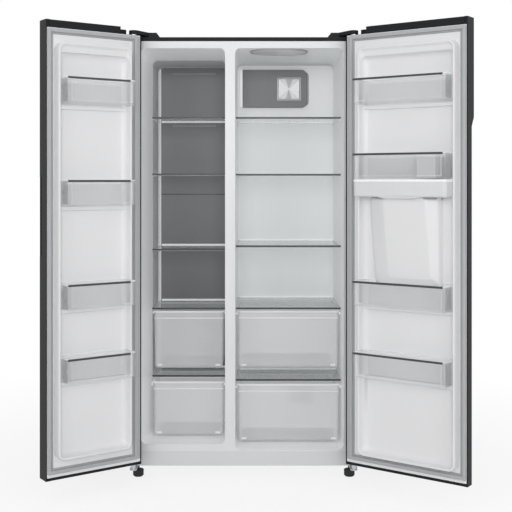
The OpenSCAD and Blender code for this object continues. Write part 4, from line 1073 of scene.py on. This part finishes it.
class DoorsOperator(bpy.types.Operator):
    """Builds the door skins, caps and the formed door liners"""

    bl_idname = "fridge.doors"
    bl_label = "Doors"

    def execute(self, context):
        sizes = context.scene.fridge_sizes
        for door in DOORS:
            refine(door + "_skin", door + "_wrap", "dark_steel")
            dress(door + "_foam", "foam")
            refine(door + "_caps", door + "_end_caps", "black_plastic", 0.6)
            self.liner(door, sizes)
        return {"FINISHED"}

    def liner(self, door, sizes):
        """Formed liner: a flange under the seal, a raised border and a hollow field in it."""
        node = door + "_liner"
        place = door_place(door)
        (_, u1), (y0, _), (z0, z1) = door_box(node, door)
        inner = y0 + INNER_FACE
        raised = [p for p in door_points(node, door) if abs(p.y - inner - BORDER_HEIGHT) < 1]
        du = (min(p.x for p in raised), max(p.x for p in raised))
        dz = (min(p.z for p in raised), max(p.z for p in raised))
        form = Form(place)
        corner, fillet = sizes.liner_corner, sizes.door_fillet

        def ring(side, top, height, radius):
            outline = round_outline((du[0] + side, du[1] - side), (dz[0] + side, dz[1] - top),
                                    max(radius, 2), 8)
            return [(p, inner + height, q) for p, q in outline]

        seal = door_box(door + "_gasket", door)[0][0]
        flat = [[(p, y, q) for p, q in round_outline((seal - 12, u1), (z0, z1), 3, 8)]
                for y in (y0, inner)]
        rings = [ring(side, top, height, corner - side) for side, top, height in BORDER]
        for s, c in arc(8)[1:]:
            grow = fillet * (1 - c)
            rings.append(ring(BORDER_WIDTH + grow, BORDER_TOP + grow, 0.3 + fillet * (1 - s),
                              corner - BORDER_WIDTH))
        form.loft(flat + rings)
        if door == "fridge_door":
            self.housing(form, inner)
        for low, high in self.ledges(door):
            form.block((du[0] + BORDER_WIDTH + 1, du[1] - BORDER_WIDTH - 1),
                       (inner - 0.5, inner + 12), (low, high), 5, 4.5, "x")
        panel = add_piece(door + "_inner_panel", form, "liner_white", door,
                          (node,), LINER_SMOOTH)
        if door == "fridge_door":
            self.opening(panel, place)

    def opening(self, panel, place):
        """Cuts the room of the dispenser's tub out of the inner panel."""
        u, y, z = door_box("dispenser_recess", "fridge_door")
        form = Form(place).layers(u, z, [(0.05, y[0] - 2), (0.05, y[1])], "y", 1, 2)
        bmesh.ops.recalc_face_normals(form.bm, faces=form.bm.faces)
        tool = form_object("tub_room", form.bm)
        cut = panel.modifiers.new("opening", "BOOLEAN")
        cut.object, cut.operation, cut.solver, cut.use_self = tool, "DIFFERENCE", "EXACT", True
        apply_modifiers(panel)
        bpy.data.objects.remove(tool)
        tidy_mesh(panel.data, LINER_SMOOTH)
        weigh_normals(panel)

    def ledges(self, door):
        """Spans in Z of the moulded ledges under the bins."""
        feet = [low for low, _ in levels(door_points(door + "_bins", door), BIN_GAP)]
        if door == "fridge_door":
            tank = levels(door_points("water_tank", door), TANK_GAP)[0][1]
            feet = [low for low in feet if low > tank + 20 or low < tank]
        return [(low - 0.5 - LEDGE_HEIGHT, low - 0.5) for low in feet]

    def housing(self, form, inner):
        """Housing behind the dispenser: a leaning front with sloping sides, wider at the top."""
        (u0, u1), _, _ = door_box("dispenser_recess", "fridge_door")
        low = HOUSING_FOOT
        high = levels(door_points("water_tank", "fridge_door"), TANK_GAP)[0][0] + 3.5
        count = 24
        rings = []
        for share, rise in HOUSING_RISE:
            sides = []
            for i in range(count + 1):
                t = i / count
                below = 1 - t  # share of the way still to go up to the tank
                foot = (u0 - HOUSING_SPLAY[0] + 20 * below ** 2, u1 + HOUSING_SPLAY[1])
                crest = (u0 + HOUSING_CREST[0] + 17 * below ** 1.5,
                         u1 + HOUSING_CREST[1] + 15 * below)
                left, right = (f + (c - f) * share for f, c in zip(foot, crest))
                depth = (HOUSING_DEPTH[0] + HOUSING_DEPTH[1] * t) * rise
                z = low + (high - low) * t + (26 * share - 14) * below
                sides.append((left, right, inner + depth, z))
            rings.append([(left, y, z) for left, _, y, z in sides]
                         + [(right, y, z) for _, right, y, z in reversed(sides)])
        form.loft(rings)


class SealsOperator(bpy.types.Operator):
    """Builds the magnetic seals with their inner lip, darker as a painted shadow line"""

    bl_idname = "fridge.seals"
    bl_label = "Door seals"

    def execute(self, context):
        for door in DOORS:
            place = door_place(door)
            u, y, z = door_box(door + "_gasket", door)
            base, top = y
            seal = [(0, base), (0, base + 4.4), (1.2, top - 1), (3, top), (10.5, top),
                    (12.5, top - 0.8), (14.2, top - 3), (14.2, base)]
            lip = [(14.8, base), (14.8, base + 3.2), (16, base + 4.6), (19.6, base + 4.2),
                   (21.8, base + 1.6), (22, base)]
            form = Form(place).band(u, z, seal, "y", corner=4, count=4)
            form.block((u[0] - 11, u[0] - 0.4), (base + 0.2, base + 1.4), z, 2, 0.4, "y")
            add_piece(door + "_seal", form, "seal_grey", door, (door + "_gasket",))
            # painted shadow: the inner lip is a darker grey for the shadow along the seal's inner
            # side
            add_piece(door + "_seal_lip", Form(place).band(u, z, lip, "y", corner=17, count=4),
                      "seal_shadow_grey", door)
        return {"FINISHED"}


BIN_WALL, BIN_FLOOR, BIN_LEAN = 2.5, 8, 1.2
BIN_RIM = 3.4
FRONT_LINE = (18, 12)  # from the bin's ends and floor to the raised line round its front
TRIM_HEIGHT = 8


class BinsOperator(bpy.types.Operator):
    """Builds the door bins, their dark trims and the small lidded box"""

    bl_idname = "fridge.bins"
    bl_label = "Door bins"

    def execute(self, context):
        sizes = context.scene.fridge_sizes
        for door in DOORS:
            self.bins(door, sizes)
        return {"FINISHED"}

    def bins(self, door, sizes):
        """Clear bins with bright rims, a lined front, a ribbed frosted end and a dark trim."""
        place = door_place(door)
        node = door + "_bins"
        u, y, _ = door_box(node, door)
        shells, rims, trims, ends = Form(place), Form(place), Form(place), Form(place)
        trim_node = door.replace("_door", "_bin_trims")
        bar = door_box(trim_node, door)[0]
        corners = [sizes.door_fillet] * 2 + [sizes.bin_corner] * 2
        side, foot = FRONT_LINE
        front = (y[1] - 3.2, y[1] - 0.2)
        pitch = sizes.slat_pitch
        count = int((y[1] - y[0] - 52) / pitch)
        ribs = []
        for z0, z1 in levels(door_points(node, door), BIN_GAP):
            shells.tub(u, y, (z0, z1), BIN_WALL, corners, BIN_FLOOR, BIN_LEAN)
            rims.band(u, y, [(0, z1 - BIN_RIM), (0, z1), (BIN_RIM, z1), (BIN_RIM, z1 - BIN_RIM)],
                      "z", corners)
            rims.block((u[0] + side - 2, u[1] - side + 2), front, (z0 + foot, z0 + foot + 1.6),
                       0.6, 0.4, "x")
            for cut in (u[0] + side, u[1] - side - 2):
                rims.block((cut, cut + 1.8), front, (z0 + foot, z1 - foot), 0.6, 0.4, "z")
            ends.block((u[1] - 4.6, u[1] - 3), (y[0] + 41, y[1] - 6), (z0 + 8, z1 - 3),
                       1, 0.5, "x")
            trims.block(bar, (y[1] + 0.1, y[1] + 3), (z1 - TRIM_HEIGHT, z1), 1.4, 1.2, "x")
            ribs.append((count, (u[1] - 5, y[0] + 45, z0 + 12), (0, pitch, 0),
                         (0, 0, z1 - z0 - 20)))
        add_piece(node + "_tubs", shells, "clear_plastic", door, (node,))
        add_piece(node + "_rims", rims, "clear_edge", door)
        add_piece(node + "_end_panes", ends, "clear_frost", door)
        add_row(node + "_end_ribs", "clear_frost", door, ribs,
                width=1.4, depth=1.0, rounding=0.4, place=place)
        add_piece(door + "_trims", trims, "trim_grey", door, (trim_node,))
        if door == "fridge_door":
            self.box(place)

    def box(self, place):
        """Small clear box with a lid that stands at the free end of a bin."""
        x, y, z = door_box("bin_box", "fridge_door")
        wall, overlap, lid_height = 2, 2, 6
        form = Form(place).tub((x[0] + overlap, x[1] - overlap), (y[0] + overlap, y[1] - overlap),
                               (z[0], z[1] - lid_height - 0.2), wall, 6, 4, 1.5)
        add_piece("small_box", form, "drawer_plastic", "fridge_door",
                  ("bin_box",))
        lid = Form(place).block(x, y, (z[1] - lid_height, z[1]), 7, 2)
        add_piece("small_box_lid", lid, "clear_edge", "fridge_door")


TANK_CORNERS = [6, 6, 16, 16]
TANK_SUMP = [(96, 3), (80, -1), (62, -4.4)]  # half width, height over the tank's floor
LID_RIM = 9.5
FILLER_RADIUS = 21
KEYS = (-60, -20, 20, 60)  # places of the touch keys from the middle
DRIP_SLATS, DRIP_PITCH = 11, 15.4


class WaterOperator(bpy.types.Operator):
    """Builds the water tank, its lid and the dispenser in the door's face"""

    bl_idname = "fridge.water"
    bl_label = "Water tank and dispenser"

    def execute(self, context):
        place = door_place("fridge_door")
        self.tank(place)
        self.lid(place)
        refine("dispenser_recess", "dispenser_tub", "black_plastic", 0.5)
        refine("dispenser_lever", "dispenser_paddle", "black_plastic", 1.2, 3)
        self.front(place)
        return {"FINISHED"}

    def tank(self, place):
        """Tank with the shallow sump that feeds the tap."""
        u, y, z = door_box("water_tank", "fridge_door")
        floor = z[0] + 5
        form = Form(place).tub(u, y, (floor, z[1] - 3), 3, TANK_CORNERS, 8, 0.6)
        mid = (u[0] + u[1]) / 2
        sump = [(mid - half, floor + height) for half, height in TANK_SUMP]
        sump += [(mid + half, floor + height) for half, height in reversed(TANK_SUMP)]
        form.outline(sump, (y[0] + 8, y[1] - 1), 1.0, "y")
        add_piece("tank_shell", form, "tank_plastic", "fridge_door",
                  ("water_tank",))

    def lid(self, place):
        """Lid with its rim, the part that sits in the tank and the filler's cap."""
        u, y, z = door_box("tank_lid", "fridge_door")
        top, corners = z[1], [4, 4] + TANK_CORNERS[2:]
        form = Form(place).block(u, y, (top - LID_RIM, top), corners, 2.4, "z", 6)
        form.block((u[0] + 4, u[1] - 4), (y[0] + 4, y[1] - 8), (z[0], top - 5), 8, 0.8)
        form.turned((u[0] + 66, (y[0] + y[1]) / 2, top - 1),
                    [(FILLER_RADIUS, 0), (FILLER_RADIUS, 0.6), (FILLER_RADIUS - 1, 1)])
        add_piece("tank_cover", form, "lid_white", "fridge_door", ("tank_lid",))

    def front(self, place):
        """Black panel in the door's face with its bezel, touch keys and drip grille."""
        door = "fridge_door"
        refine("dispenser_front", "dispenser_panel", "panel_black", 0.5)
        u, y, z = door_box("dispenser_recess", door)
        _, (face, _), (_, panel_top) = door_box("dispenser_front", door)
        front = y[0]
        form = Form(place).band((u[0] - 1, u[1] + 1), (z[0] - 1, z[1] + 1),
                                [(0, front - 0.2), (0, front - 1.9), (1.5, front - 2),
                                 (3, front - 0.4), (3, front + 4), (1, front + 4)], "y", 3)
        add_piece("dispenser_bezel", form, "outlet_chrome", door)
        mid = (u[0] + u[1]) / 2
        keys = Form(place)
        for at in KEYS:
            keys.turned((mid + at, face + 0.7, panel_top - 30),
                        [(9, 0), (9, -0.5), (8.3, -0.65), (7.4, -0.65), (7, -0.3)], 32, "y")
        add_piece("dispenser_keys", keys, "trim_grey", door)
        start = (u[0] + 18, front + 10, z[0] + 11.6)
        add_row("drip_slats", "panel_black", door,
                [(DRIP_SLATS, start, (DRIP_PITCH, 0, 0), (0, 62, 0))],
                width=5.4, depth=1.8, rounding=0.7, place=place)


MACHINERY = (  # node, finish, rounding of its edges
    ("evaporator", "fin_aluminium", 0),
    ("fan_motors", "motor_black", 0.8),
    ("evaporator_fan", "fan_white", 0.5),
    ("condenser_fan", "black_plastic", 0.5),
    ("condenser", "fin_aluminium", 0),
    ("evaporation_tray", "black_plastic", 1),
    ("compressor_mounts", "rubber_black", 0.8),
)


class MachineryOperator(bpy.types.Operator):
    """Finishes the fans, the evaporator and what stands in the machine bay"""

    bl_idname = "fridge.machinery"
    bl_label = "Machinery"

    def execute(self, context):
        for node, material, bevel in MACHINERY:
            refine(node, node + "_finished", material, bevel)
        refine("compressor", "compressor_shell", "shell_black", 1.0)
        return {"FINISHED"}


FOOT_PROFILE = [(14, 0), (17, 0.6), (18.4, 2), (19, 4), (20, 10), (21.4, 21), (22, 24),
                (21.6, 26), (20, 27.6), (12, 28), (5, 28.2)]  # radius, height
STUD_RADIUS = 5
GRIP_RIBS, GRIP_RADIUS = 12, 19.6


class HardwareOperator(bpy.types.Operator):
    """Builds the hinges, their covers, the screws, feet and rollers"""

    bl_idname = "fridge.hardware"
    bl_label = "Hinges, feet and rollers"

    def execute(self, context):
        refine("hinges", "hinges_plates", "plated_steel", 0.5)
        refine("hinge_covers", "top_hinge_covers", "black_plastic", 1.0, 3)
        refine("fasteners", "screws", "plated_steel", 0.5)
        refine("roller_brackets", "roller_forks", "plated_steel", 0.4)
        for side in ("left", "right"):
            refine("rear_roller_" + side, "roller_" + side, "rubber_black", 1.2, 3)
            self.foot("front_foot_" + side)
        return {"FINISHED"}

    def foot(self, node):
        """Ribbed foot on its threaded stud."""
        low, high = node_box(node)
        x, y = (low.x + high.x) / 2, (low.y + high.y) / 2
        stud = [(STUD_RADIUS, high.z - 1), (STUD_RADIUS - 1, high.z)]
        form = Form().turned((x, y, 0), FOOT_PROFILE + stud, 56)
        for i in range(GRIP_RIBS):
            t = 2 * math.pi * i / GRIP_RIBS
            form.turned((x + GRIP_RADIUS * math.cos(t), y + GRIP_RADIUS * math.sin(t), 4),
                        [(1.6, 0), (1.9, 1), (1.9, 19), (1.4, 20)], 10)
        add_piece(node + "_pad", form, "rubber_black", node, (node,))


# --- panel and registration ------------------------------------------------------------------

STEPS = (StageOperator, CabinetOperator, LinersOperator, ShelvesOperator, DrawersOperator,
         AirOperator, DoorsOperator, SealsOperator, BinsOperator, WaterOperator,
         MachineryOperator, HardwareOperator)


class FridgePanel(bpy.types.Panel):
    """Lists the sizes, the colours and the steps"""

    bl_idname = "VIEW3D_PT_fridge"
    bl_label = "Refrigerator"
    bl_space_type = "VIEW_3D"
    bl_region_type = "UI"
    bl_category = "Refrigerator"

    def draw(self, context):
        for group in (context.scene.fridge_sizes, context.scene.fridge_colours):
            box = self.layout.box()
            for name in group.__annotations__:
                box.prop(group, name)
        for step in STEPS:
            self.layout.operator(step.bl_idname)


CLASSES = (FridgeSizes, FridgeColours) + STEPS + (FridgePanel,)


def register():
    for cls in CLASSES:
        bpy.utils.register_class(cls)
    bpy.types.Scene.fridge_sizes = bpy.props.PointerProperty(type=FridgeSizes)
    bpy.types.Scene.fridge_colours = bpy.props.PointerProperty(type=FridgeColours)


def unregister():
    del bpy.types.Scene.fridge_colours
    del bpy.types.Scene.fridge_sizes
    for cls in reversed(CLASSES):
        bpy.utils.unregister_class(cls)


def main():
    register()
    for step in STEPS:
        group, name = step.bl_idname.split(".")
        getattr(getattr(bpy.ops, group), name)()


if __name__ == "__main__":
    main()
